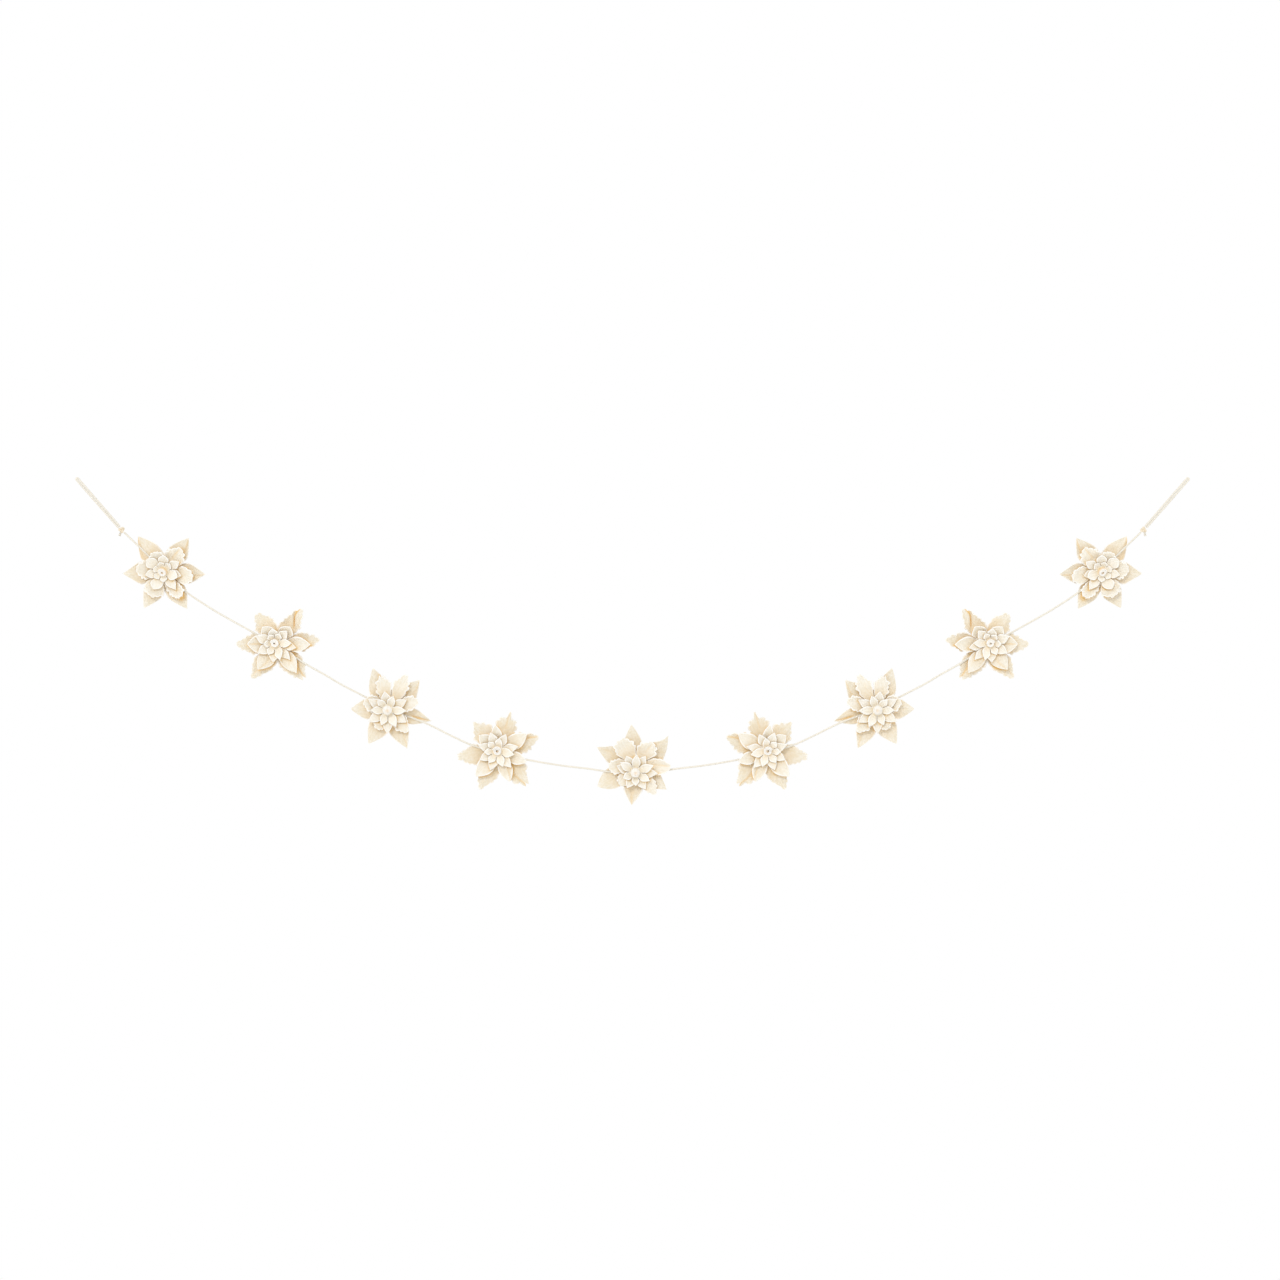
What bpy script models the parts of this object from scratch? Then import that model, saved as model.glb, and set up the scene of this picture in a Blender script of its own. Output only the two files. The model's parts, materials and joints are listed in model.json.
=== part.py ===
"""Felt poinsettia garland: nine layered felt flowers on one cord, with a hang loop at each end.

Metres, +Z up. The flowers face -Y. The origin is the tip of the left hang loop, and the garland
spans +X to the tip of the right one. Flowers six to nine are flowers four to one the other way
round. Each flower is four stars cut from sheet felt, two of them under and over the cord, with a
felt ball or a rolled button glued in the middle.
"""

import math
from collections import namedtuple

import bmesh
import bpy
from mathutils import Euler, Vector

MM = 0.001

# Driving sizes.
HALF_SPAN = 0.772
FELT = 1.8 * MM
CORD_WIDTH = 2.8 * MM
GAP = 0.3 * MM

# How far in front of the cord's axis the middle of the second felt layer lies; the first one
# lies as far behind it.
MIDDLE_LEVEL = CORD_WIDTH / 2 + GAP + FELT / 2
CENTRE_SEAT = MIDDLE_LEVEL + 2 * (FELT + GAP) + FELT / 2 + GAP

# One layer of a flower. level: its felt's middle in front of the cord's axis. notch: where
# neighbouring petals part, from the star's centre. rows: the rows across a smooth petal, as parts
# of its free length from the notch to the tip. widest: where on that length it is widest. taper:
# how full it stays from there to the tip. spring: under 1 where it bends near its root, over 1
# where it bends near its tip. shifted: 1 if it lies off the flower's middle.
Layer = namedtuple("Layer", "name level notch rows widest taper spring shifted")

LARGE_ROWS = (0, 0.33, 0.68, 1)
SMALL_ROWS = (0, 0.52, 1)
LAYERS = (
    Layer("outer", -MIDDLE_LEVEL, 26 * MM, LARGE_ROWS, 0.30, 1.3, 1.4, 0),
    Layer("middle", MIDDLE_LEVEL, 17 * MM, LARGE_ROWS, 0.38, 1.8, 1.0, 0),
    Layer("inner", MIDDLE_LEVEL + FELT + GAP, 9.5 * MM, SMALL_ROWS, 0.45, 1.8, 0.8, 1),
    Layer("small", MIDDLE_LEVEL + 2 * (FELT + GAP), 7.5 * MM, SMALL_ROWS, 0.42, 1.7, 0.8, 1),
)
PETAL_SPACE = 0.5 * MM

# Pinked edges: teeth on each side of a petal and their depth.
TEETH = 3
TOOTH_DEPTH = 2.2 * MM

BALL_RADIUS = 7.2 * MM
BUTTON_RADIUS = 6.8 * MM
BUTTON_HEIGHT = 5.5 * MM
BUTTON_STEPS = 12

KNOT_RADIUS = 3.9 * MM
TAIL_LENGTH = 5 * MM
TAIL_LEAN = 0.35
TAIL_FRAY = 1.4
LOOP_STRANDS = 3.5 * MM
CORD_POINTS = 46
LOOP_BEND = 6

# angle: anticlockwise from +X, degrees. reach: star centre to tip. width: the widest place.
# lift: the tip in front of the star's centre. fold: the edges in front of the midrib.
# tilt: the anticlockwise edge in front of the midrib, and the other as far behind. sway: the tip
# pulled anticlockwise off the midrib's line. All in mm but the angle. taper: the petal's own,
# where it isn't its layer's.
Petal = namedtuple("Petal", "angle reach width lift fold tilt sway taper", defaults=(0, 0))

# x, z: the flower's centre from the left loop's tip. shift_x, shift_z: its inner stars and
# centre from there. All in mm. pinked: the layer cut with pinking shears.
Flower = namedtuple("Flower", "x z shift_x shift_z pinked centre outer middle inner small")

FLOWERS = (
    Flower(
        x=121.3, z=-130.3, shift_x=0.0, shift_z=1.0, pinked="middle", centre="button",
        outer=(
            Petal(126, 62, 32, -3, -3, -4),
            Petal(54, 59, 30, 4, -2, 2),
            Petal(-3, 58, 30, 2, 3, 0),
            Petal(-58, 60, 29, -1, -2, 0),
            Petal(-119, 57, 28, 3, -2, 0),
            Petal(182, 57, 33, 1, 2, -1, 0, 1.05),
        ),
        middle=(
            Petal(118, 30, 22, 8, 2, 0),
            Petal(52, 41, 25, 7, 2, 2),
            Petal(-12, 42, 25, 6, 3, 0, 0, 2.4),
            Petal(-55, 44, 18, 4, 3, 0, 0, 3),
            Petal(-118, 37, 28, 7, -2, 0, 0, 3),
            Petal(173, 37, 23, 6, 3, 0, 0, 2.4),
        ),
        inner=(
            Petal(146, 28, 16, 8, 2, 0),
            Petal(88, 22, 16, 10, 2, 0),
            Petal(30, 26, 15, 8, 2, 0),
            Petal(-14, 26, 14, 7, 2, 0),
            Petal(-55, 31, 15, 7, 2, 0),
            Petal(-118, 28, 17, 7, 2, 0),
            Petal(192, 25, 14, 7, 2, 0),
        ),
        small=(
            Petal(165, 17, 11, 8, 2, 0),
            Petal(110, 15, 12, 10, 2, 0),
            Petal(45, 17, 12, 9, 2, 0),
            Petal(-22, 20, 13, 8, 2, 0),
            Petal(-88, 18, 12, 8, 2, 0),
            Petal(-142, 18, 12, 8, 2, 0),
        ),
    ),
    Flower(
        x=279.3, z=-230.1, shift_x=-3.0, shift_z=1.0, pinked="outer", centre="button",
        outer=(
            Petal(125, 52, 27, -2, -2, 0),
            Petal(55, 60, 24, 4, 4, 0),
            Petal(6, 59, 25, 3, 3, 2),
            Petal(-53, 62, 30, -3, -3, 2),
            Petal(-127, 60, 28, 2, -2, 0),
            Petal(180, 58, 27, 2, -1, 0),
        ),
        middle=(
            Petal(130, 31, 20, 8, 2, 0),
            Petal(52, 30, 22, 8, 2, 0),
            Petal(-1, 46, 22, 7, 4, 3),
            Petal(-56, 48, 22, 6, -2, 2),
            Petal(-127, 44, 24, 7, -3, 0),
            Petal(180, 41, 26, 8, 4, 0),
        ),
        inner=(
            Petal(160, 28, 15, 8, 2, 0),
            Petal(100, 20, 15, 10, 2, 0),
            Petal(45, 24, 15, 9, 2, 0),
            Petal(-12, 30, 15, 7, 2, 0),
            Petal(-47, 31, 14, 6, 2, 2),
            Petal(-95, 26, 15, 7, 2, 0),
            Petal(-150, 27, 15, 8, 2, 0),
        ),
        small=(
            Petal(0, 21, 12, 8, 2, 0),
            Petal(62, 16, 11, 9, 2, 0),
            Petal(125, 15, 11, 10, 2, 0),
            Petal(185, 17, 11, 9, 2, 0),
            Petal(-120, 18, 11, 8, 2, 0),
            Petal(-65, 21, 12, 8, 2, 0),
        ),
    ),
    Flower(
        x=434.5, z=-320.2, shift_x=-2.0, shift_z=-1.5, pinked="middle", centre="ball",
        outer=(
            Petal(123, 60, 27, 2, -1, -2, -12, 1.8),
            Petal(37, 58, 30, 4, 1, 2, 7),
            Petal(-19, 60, 23, -2, -4, 0, 3),
            Petal(-66, 60, 28, 1, 3, 0),
            Petal(-121, 57, 29, 2, -2, 0),
            Petal(180, 54, 30, -3, -2, 0),
        ),
        middle=(
            Petal(103, 50, 19, 6, -1, 0, 0, 2.4),
            Petal(63, 55, 20, 5, 1, 0),
            Petal(16, 42, 19, 7, 3, 0, 0, 2.6),
            Petal(-51, 41, 20, 5, 2, 0),
            Petal(-122, 32, 22, 6, 1, 0),
            Petal(162, 36, 22, 8, 3, 0, 0, 2.4),
        ),
        inner=(
            Petal(150, 31, 14, 8, 2, 0),
            Petal(98, 26, 14, 9, 2, 0),
            Petal(28, 30, 14, 8, 2, 0),
            Petal(-33, 31, 15, 7, 2, 0),
            Petal(-90, 33, 15, 6, 2, 0),
            Petal(211, 31, 15, 7, 2, 0),
        ),
        small=(
            Petal(180, 23, 12, 8, 2, 0),
            Petal(132, 20, 11, 9, 2, 0),
            Petal(66, 21, 12, 9, 2, 0),
            Petal(-2, 26, 12, 10, 2, 0),
            Petal(-62, 26, 13, 10, 2, 0),
            Petal(-112, 22, 12, 8, 2, 0),
        ),
    ),
    Flower(
        x=587.0, z=-379.8, shift_x=-2.5, shift_z=1.5, pinked="outer", centre="button",
        outer=(
            Petal(131, 55, 28, 1, -2, 0),
            Petal(74, 58, 27, 3, -2, 0),
            Petal(21, 59, 26, 4, -2, 2),
            Petal(-50, 61, 28, -2, -1, 0),
            Petal(-118, 59, 28, 2, -2, 0),
            Petal(187, 60, 28, 2, -2, 0),
        ),
        middle=(
            Petal(140, 36, 20, 9, 2, 0),
            Petal(98, 38, 15, 11, 2, 0),
            Petal(33, 46, 22, 6, 3, 0),
            Petal(-20, 41, 18, 6, 3, 0),
            Petal(-70, 44, 20, 4, 3, 0),
            Petal(226, 47, 24, 7, 4, 0),
        ),
        inner=(
            Petal(162, 28, 13, 8, 2, 0),
            Petal(110, 27, 14, 9, 2, 0),
            Petal(62, 26, 13, 9, 2, 0),
            Petal(12, 30, 14, 7, 2, 0),
            Petal(-50, 30, 14, 7, 2, 0),
            Petal(-110, 28, 14, 7, 2, 0),
            Petal(207, 27, 14, 7, 2, 0),
        ),
        small=(
            Petal(185, 18, 11, 8, 2, 0),
            Petal(135, 17, 11, 9, 2, 0),
            Petal(80, 18, 11, 9, 2, 0),
            Petal(-12, 22, 13, 8, 2, 0),
            Petal(-70, 23, 12, 8, 2, 0),
            Petal(-125, 20, 12, 8, 2, 0),
        ),
    ),
    Flower(
        x=775.5, z=-399.2, shift_x=0.3, shift_z=-9.0, pinked="middle", centre="ball",
        outer=(
            Petal(95, 58, 25, 3, -2, 0, 0, 1.4),
            Petal(30, 61, 31, 4, -2, 3, 8),
            Petal(-37, 55, 25, 1, -2, -2),
            Petal(-95, 55, 27, 3, 5, 0),
            Petal(209, 60, 31, -1, -2, 0, 0, 2),
            Petal(154, 59, 27, 3, -2, 0),
        ),
        middle=(
            Petal(120, 42, 26, 6, 2, 0, 0, 3),
            Petal(52, 41, 25, 8, 2, 0),
            Petal(-2, 50, 22, 5, 2, 0, 0, 2.6),
            Petal(-54, 49, 20, 2, 0, 0),
            Petal(232, 34, 20, 1, 0, 0),
            Petal(182, 37, 20, 6, 2, 0, 0, 2.2),
        ),
        inner=(
            Petal(160, 27, 15, 9, 2, 0),
            Petal(118, 26, 14, 10, 2, 0),
            Petal(58, 27, 14, 10, 2, 0),
            Petal(-2, 31, 14, 7, 2, 0),
            Petal(-58, 27, 14, 6, 2, 0),
            Petal(-118, 24, 13, 6, 2, 0),
        ),
        small=(
            Petal(85, 25, 13, 12, 2, 0),
            Petal(22, 27, 13, 11, 2, 0),
            Petal(-30, 23, 12, 8, 2, 0),
            Petal(-88, 18, 11, 7, 2, 0),
            Petal(205, 18, 12, 8, 2, 0),
            Petal(145, 25, 13, 11, 2, 0),
        ),
    ),
)


# The left half of the cord's route, from the left knot's middle to the garland's middle, in mm.
CORD_ROUTE = (
    (62.5, -71.5), (74, -82.5), (87, -95), (103, -111), (122, -132), (152.5, -158), (188, -181.5),
    (213, -196), (249, -216), (279, -233), (319.5, -258.5), (346, -273.5), (368, -286.5),
    (401, -303.5), (434.5, -321), (481.5, -338.5), (520.5, -357.5), (548, -370), (587, -382),
    (627, -391), (671.5, -398.5), (709, -403), (738, -407),
)
CORD_MIDDLE_Z = -408.0

# A hang loop's strands from the knot towards the tip: how far along, and how far apart against
# LOOP_STRANDS, which they are from there round the tip in LOOP_BEND straight pieces.
LOOP_ROUTE = ((0.048, 0.89), (0.3, 0.94), (0.6, 1.0), (0.85, 1.0))


def add_material(name, colour, roughness):
    """A plain felt or cord finish: base colour, roughness and no metal."""
    material = bpy.data.materials.new(name)
    material.use_nodes = True
    shader = material.node_tree.nodes["Principled BSDF"]
    shader.inputs["Base Color"].default_value = (*colour, 1)
    shader.inputs["Roughness"].default_value = roughness
    shader.inputs["Metallic"].default_value = 0
    return material


def ease(amount):
    """0 to 1 with a soft start and end, for an amount that may lie outside that."""
    amount = min(max(amount, 0), 1)
    return amount * amount * (3 - 2 * amount)


def half_width(petal, layer, along, notch_half_width):
    """Half the petal's width at a part of its free length, 0 at the notch and 1 at the tip."""
    widest = petal.width * MM / 2
    if along < layer.widest:
        grown = math.sin(math.pi / 2 * along / layer.widest)
        return notch_half_width + (widest - notch_half_width) * grown
    narrow = (along - layer.widest) / (1 - layer.widest)
    return widest * (1 - narrow ** (petal.taper or layer.taper))


def petal_rise(petal, layer, along, across):
    """How far in front of the star's flat middle the felt lies at a place on the petal."""
    grown = ease(along / 0.5)
    bent = petal.lift * along ** layer.spring
    folded = petal.fold * grown * across * across
    tilted = petal.tilt * grown * across
    return (bent + folded + tilted) * MM


def petal_point(petal, layer, along, side, notch_angle, tooth):
    """The place of one outline or midrib point, flat direction first, in the flower's own frame.

    side is 1 on the anticlockwise edge, -1 on the other and 0 on the midrib; notch_angle is the
    angle from the midrib to the notch on that side.
    """
    start = layer.notch * math.cos(notch_angle) if side else layer.notch
    reach = petal.reach * MM
    distance = start + (reach - start) * along
    half = half_width(petal, layer, along, layer.notch * math.sin(notch_angle))
    sideways = petal.sway * MM * along ** 1.5 + side * (half + tooth)
    if side and 0 < along < 1:
        room = distance * math.tan(notch_angle) - PETAL_SPACE
        sideways = side * min(side * sideways, room)
    rise = petal_rise(petal, layer, along, side * half / (petal.width * MM / 2))
    angle = math.radians(petal.angle)
    return Vector((
        distance * math.cos(angle) - sideways * math.sin(angle),
        distance * math.sin(angle) + sideways * math.cos(angle),
        rise,
    ))


def row_places(is_pinked, layer):
    """The rows of a petal from its notch to its tip: part of the free length, and tooth there."""
    if not is_pinked:
        return [(row, 0) for row in layer.rows]
    steps = 2 * TEETH
    teeth = [
        (step / steps, TOOTH_DEPTH if step % 2 else -TOOTH_DEPTH / 3)
        for step in range(1, steps)
    ]
    return [(0, 0), *teeth, (1, 0)]


def add_petal(mesh, petal, layer, gaps, is_pinked):
    """Add one petal of a star, from the star's centre to its tip, as a bent grid."""
    places = row_places(is_pinked, layer)
    last_row = len(places)
    grid = bmesh.ops.create_grid(mesh, x_segments=last_row, y_segments=2, size=1)
    for vertex in grid["verts"]:
        row = round((vertex.co.x + 1) / 2 * last_row)
        side = round(vertex.co.y)
        if row == 0:
            vertex.co = (0, 0, 0)
            continue
        along, tooth = places[row - 1]
        notch_angle = gaps[0] if side > 0 else gaps[1]
        vertex.co = petal_point(petal, layer, along, side, notch_angle, tooth)


def star_mesh(name, petals, layer, is_pinked):
    """An open sheet with one petal for each row of the table, joined round the star's centre."""
    ordered = sorted(petals, key=lambda petal: petal.angle % 360)
    mesh = bmesh.new()
    for number, petal in enumerate(ordered):
        following = ordered[(number + 1) % len(ordered)]
        before = ordered[number - 1]
        gaps = (
            math.radians((following.angle - petal.angle) % 360) / 2,
            math.radians((petal.angle - before.angle) % 360) / 2,
        )
        add_petal(mesh, petal, layer, gaps, is_pinked)
    bmesh.ops.remove_doubles(mesh, verts=mesh.verts, dist=0.01 * MM)
    bmesh.ops.recalc_face_normals(mesh, faces=mesh.faces)
    data = bpy.data.meshes.new(name)
    mesh.to_mesh(data)
    mesh.free()
    return data


def add_object(name, data, material, collection, parent=None, place=(0, 0, 0)):
    """Put a mesh or curve in the garland's collection, under its flower where it has one."""
    data.materials.append(material)
    piece = bpy.data.objects.new(name, data)
    piece.parent = parent
    piece.location = place
    collection.objects.link(piece)
    return piece


def add_star(name, petals, layer, place, is_pinked, material, collection, parent):
    """One felt star: its bent sheet with the felt's thickness."""
    sheet = star_mesh(name, petals, layer, is_pinked)
    piece = add_object(name, sheet, material, collection, parent, place)
    thicken = piece.modifiers.new("Felt", "SOLIDIFY")
    thicken.thickness = FELT
    thicken.offset = 0
    return piece


def add_ball(name, place, material, collection, parent):
    """A felted wool ball that sits on the smallest star."""
    ball = bmesh.new()
    bmesh.ops.create_icosphere(ball, subdivisions=2, radius=BALL_RADIUS)
    data = bpy.data.meshes.new(name)
    ball.to_mesh(data)
    ball.free()
    data.shade_smooth()
    return add_object(name, data, material, collection, parent, place + Vector((0, 0, BALL_RADIUS)))


def add_button(name, place, material, collection, parent):
    """A strip of felt rolled into a button: a turned profile with a dimple, down its outer side."""
    profile = (
        (0, 0.80), (0.35, 0.86), (0.78, 1.0), (1.0, 0.55), (0.86, 0.0), (0, 0.0),
    )
    data = bpy.data.meshes.new(name)
    edges = [(number, number + 1) for number in range(len(profile) - 1)]
    points = [(radius * BUTTON_RADIUS, 0, height * BUTTON_HEIGHT) for radius, height in profile]
    data.from_pydata(points, edges, [])
    piece = add_object(name, data, material, collection, parent, place)
    turned = piece.modifiers.new("Roll", "SCREW")
    turned.axis = "Z"
    turned.angle = math.tau
    turned.steps = BUTTON_STEPS
    turned.render_steps = BUTTON_STEPS
    turned.use_merge_vertices = True
    turned.merge_threshold = 0.05 * MM
    turned.use_smooth_shade = True
    return piece


def add_flower(number, flower, materials, collection):
    """One flower on its own empty, which turns the petals' flat frame to face -Y."""
    centre = bpy.data.objects.new(f"flower_{number}", None)
    centre.location = (flower.x * MM, 0, flower.z * MM)
    centre.rotation_euler = Euler((math.pi / 2, 0, 0))
    collection.objects.link(centre)
    for layer in LAYERS:
        shift = Vector((flower.shift_x, flower.shift_z, 0)) * MM * layer.shifted
        add_star(
            f"flower_{number}_{layer.name}_petals", getattr(flower, layer.name), layer,
            shift + Vector((0, 0, layer.level)), flower.pinked == layer.name,
            materials[layer.name], collection, centre,
        )
    seat = Vector((flower.shift_x * MM, flower.shift_z * MM, CENTRE_SEAT))
    add_centre = add_ball if flower.centre == "ball" else add_button
    add_centre(f"flower_{number}_{flower.centre}", seat, materials["centre"], collection, centre)


def other_way_round(flower):
    """The same flower as its mirror image, at the mirrored place on the garland."""
    turned = {
        layer: tuple(
            petal._replace(angle=180 - petal.angle, tilt=-petal.tilt, sway=-petal.sway)
            for petal in getattr(flower, layer)
        )
        for layer in ("outer", "middle", "inner", "small")
    }
    return flower._replace(x=2 * HALF_SPAN / MM - flower.x, shift_x=-flower.shift_x, **turned)


def smooth_route(route, count):
    """count points, evenly spaced, on a smooth curve through the route's points."""
    ends = [2 * route[0] - route[1], *route, 2 * route[-1] - route[-2]]
    fine = [route[0]]
    steps = 12
    for before, start, end, after in zip(ends, ends[1:], ends[2:], ends[3:]):
        for step in range(1, steps + 1):
            t = step / steps
            fine.append(0.5 * (
                2 * start + (end - before) * t
                + (2 * before - 5 * start + 4 * end - after) * t * t
                + (3 * start - before - 3 * end + after) * t * t * t
            ))
    lengths = [0]
    for start, end in zip(fine, fine[1:]):
        lengths.append(lengths[-1] + (end - start).length)
    points = []
    place = 0
    for number in range(count):
        wanted = lengths[-1] * number / (count - 1)
        while place < len(fine) - 2 and lengths[place + 1] < wanted:
            place += 1
        part = (wanted - lengths[place]) / (lengths[place + 1] - lengths[place])
        points.append(fine[place].lerp(fine[place + 1], part))
    return points


def add_tube(name, points, material, collection, end_radius=1):
    """A round cord through the points, with filled ends; the last point's radius may be larger."""
    curve = bpy.data.curves.new(name, "CURVE")
    curve.dimensions = "3D"
    curve.bevel_depth = CORD_WIDTH / 2
    curve.bevel_resolution = 2
    curve.use_fill_caps = True
    spline = curve.splines.new("POLY")
    spline.points.add(len(points) - 1)
    for place, point in zip(spline.points, points):
        place.co = (*point, 1)
    spline.points[-1].radius = end_radius
    return add_object(name, curve, material, collection)


def add_knot(name, place, material, collection):
    """The knot that closes a hang loop, as one round lump."""
    knot = bmesh.new()
    bmesh.ops.create_icosphere(knot, subdivisions=2, radius=KNOT_RADIUS)
    data = bpy.data.meshes.new(name)
    knot.to_mesh(data)
    knot.free()
    data.shade_smooth()
    return add_object(name, data, material, collection, None, place)


def loop_points(knot, tip):
    """The doubled cord from its knot, round the tip and back, as wide as its strands lie apart."""
    along = tip - knot
    radius = LOOP_STRANDS / 2
    across = along.cross(Vector((0, 1, 0))).normalized() * radius
    middle = tip - along.normalized() * radius
    out = [knot + along * part + across * spread for part, spread in LOOP_ROUTE]
    back = [knot + along * part - across * spread for part, spread in reversed(LOOP_ROUTE)]
    turns = [math.pi * step / LOOP_BEND for step in range(LOOP_BEND + 1)]
    bend = [
        middle + across * math.cos(turn) + along.normalized() * radius * math.sin(turn)
        for turn in turns
    ]
    return [*out, *bend, *back]


def add_cords(material, collection):
    """The main cord between its two knots, and at each end a hang loop, a knot and a tail."""
    left = [Vector((x * MM, 0, z * MM)) for x, z in CORD_ROUTE]
    right = [Vector((2 * HALF_SPAN - point.x, 0, point.z)) for point in reversed(left)]
    clear = KNOT_RADIUS + GAP
    start = left[0] + (left[1] - left[0]).normalized() * clear
    end = right[-1] + (right[-2] - right[-1]).normalized() * clear
    route = [start, *left[1:], Vector((HALF_SPAN, 0, CORD_MIDDLE_Z * MM)), *right[:-1], end]
    add_tube("main_cord", smooth_route(route, CORD_POINTS), material, collection)
    tips = (("left", left[0], Vector((0, 0, 0))), ("right", right[-1], Vector((2 * HALF_SPAN, 0, 0))))
    for side, knot, tip in tips:
        add_knot(f"{side}_knot", knot, material, collection)
        add_tube(f"{side}_hang_loop", loop_points(knot, tip), material, collection)
        lean = -TAIL_LEAN if side == "left" else TAIL_LEAN
        down = Vector((lean, 0, -1)).normalized()
        tail = [knot + down * clear, knot + down * (clear + TAIL_LENGTH)]
        add_tube(f"{side}_cord_tail", tail, material, collection, TAIL_FRAY)


def main():
    """Clear the scene and build the garland."""
    for old in list(bpy.data.objects):
        bpy.data.objects.remove(old)
    collection = bpy.data.collections.new("felt_poinsettia_garland")
    bpy.context.scene.collection.children.link(collection)
    materials = {
        "outer": add_material("ivory_felt_outer", (0.84, 0.77, 0.64), 0.95),
        "middle": add_material("cream_felt_middle", (0.88, 0.83, 0.72), 0.95),
        "inner": add_material("cream_felt_inner", (0.90, 0.86, 0.77), 0.95),
        "small": add_material("white_felt_small", (0.91, 0.88, 0.80), 0.95),
        "centre": add_material("felted_wool_centre", (0.89, 0.85, 0.76), 0.97),
    }
    cord = add_material("twisted_cotton_cord", (0.90, 0.88, 0.82), 0.9)
    add_cords(cord, collection)
    flowers = [*FLOWERS, *(other_way_round(flower) for flower in reversed(FLOWERS[:-1]))]
    for number, flower in enumerate(flowers, start=1):
        add_flower(number, flower, materials, collection)


main()
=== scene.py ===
"""Dresses the felt poinsettia garland: felt stars, rolled buttons, wool balls and twisted cord.

Metres, +Z up. The flowers face -Y, the left hang loop's tip is the origin and the garland spans
+X. Each flower is four stars cut from sheet felt and glued in a stack, the cord caught between
the back two, with a felted ball or a rolled felt button in the middle. Flowers six to nine are
flowers four to one the other way round.
"""

import json
import logging
import math
from collections.abc import Iterator, Sequence
from dataclasses import dataclass, field, replace
from enum import Enum

import bmesh
import bpy
from mathutils import Matrix, Vector, noise


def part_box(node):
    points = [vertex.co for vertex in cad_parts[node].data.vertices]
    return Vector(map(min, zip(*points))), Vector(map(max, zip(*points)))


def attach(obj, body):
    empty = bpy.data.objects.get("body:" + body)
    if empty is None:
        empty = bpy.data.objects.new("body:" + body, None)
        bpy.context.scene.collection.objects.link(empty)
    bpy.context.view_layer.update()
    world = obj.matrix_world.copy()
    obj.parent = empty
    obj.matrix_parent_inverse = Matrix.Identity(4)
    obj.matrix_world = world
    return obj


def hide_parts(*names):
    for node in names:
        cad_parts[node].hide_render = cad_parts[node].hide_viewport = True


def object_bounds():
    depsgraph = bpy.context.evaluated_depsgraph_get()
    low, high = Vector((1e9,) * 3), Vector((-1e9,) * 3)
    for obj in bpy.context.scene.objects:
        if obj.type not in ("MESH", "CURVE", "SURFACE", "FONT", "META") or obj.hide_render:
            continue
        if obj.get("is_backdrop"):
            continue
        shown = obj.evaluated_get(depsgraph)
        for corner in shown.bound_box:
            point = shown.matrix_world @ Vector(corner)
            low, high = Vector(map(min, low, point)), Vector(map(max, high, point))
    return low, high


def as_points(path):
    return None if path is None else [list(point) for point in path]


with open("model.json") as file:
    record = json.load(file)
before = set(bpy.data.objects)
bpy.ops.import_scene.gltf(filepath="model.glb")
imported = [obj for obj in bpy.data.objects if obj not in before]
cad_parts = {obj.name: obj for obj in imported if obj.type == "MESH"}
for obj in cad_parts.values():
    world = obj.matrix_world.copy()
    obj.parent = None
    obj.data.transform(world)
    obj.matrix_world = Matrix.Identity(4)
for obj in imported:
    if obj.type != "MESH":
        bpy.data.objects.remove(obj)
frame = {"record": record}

log = logging.getLogger("garland")

Colour = tuple[float, float, float]

MM = 0.001

# The garland's driving sizes, as its solids have them.
FELT = 1.8 * MM
CORD_WIDTH = 2.8 * MM
GAP = 0.3 * MM
KNOT_RADIUS = 3.9 * MM


def ease(amount: float) -> float:
    """Return amount held to 0..1, with a soft start and end."""
    amount = min(max(amount, 0.0), 1.0)
    return amount * amount * (3 - 2 * amount)


def mix(start: float, end: float, part: float) -> float:
    """Return the value a part of the way from start to end."""
    return start + (end - start) * part


# ------------------------------------------------------------------------------------- finishes

# How widely the fuzz of wool and cotton scatters light, and how little they shine.
FUZZ_SPREAD = 0.6
WOOL_GLOSS = 0.15


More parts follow.
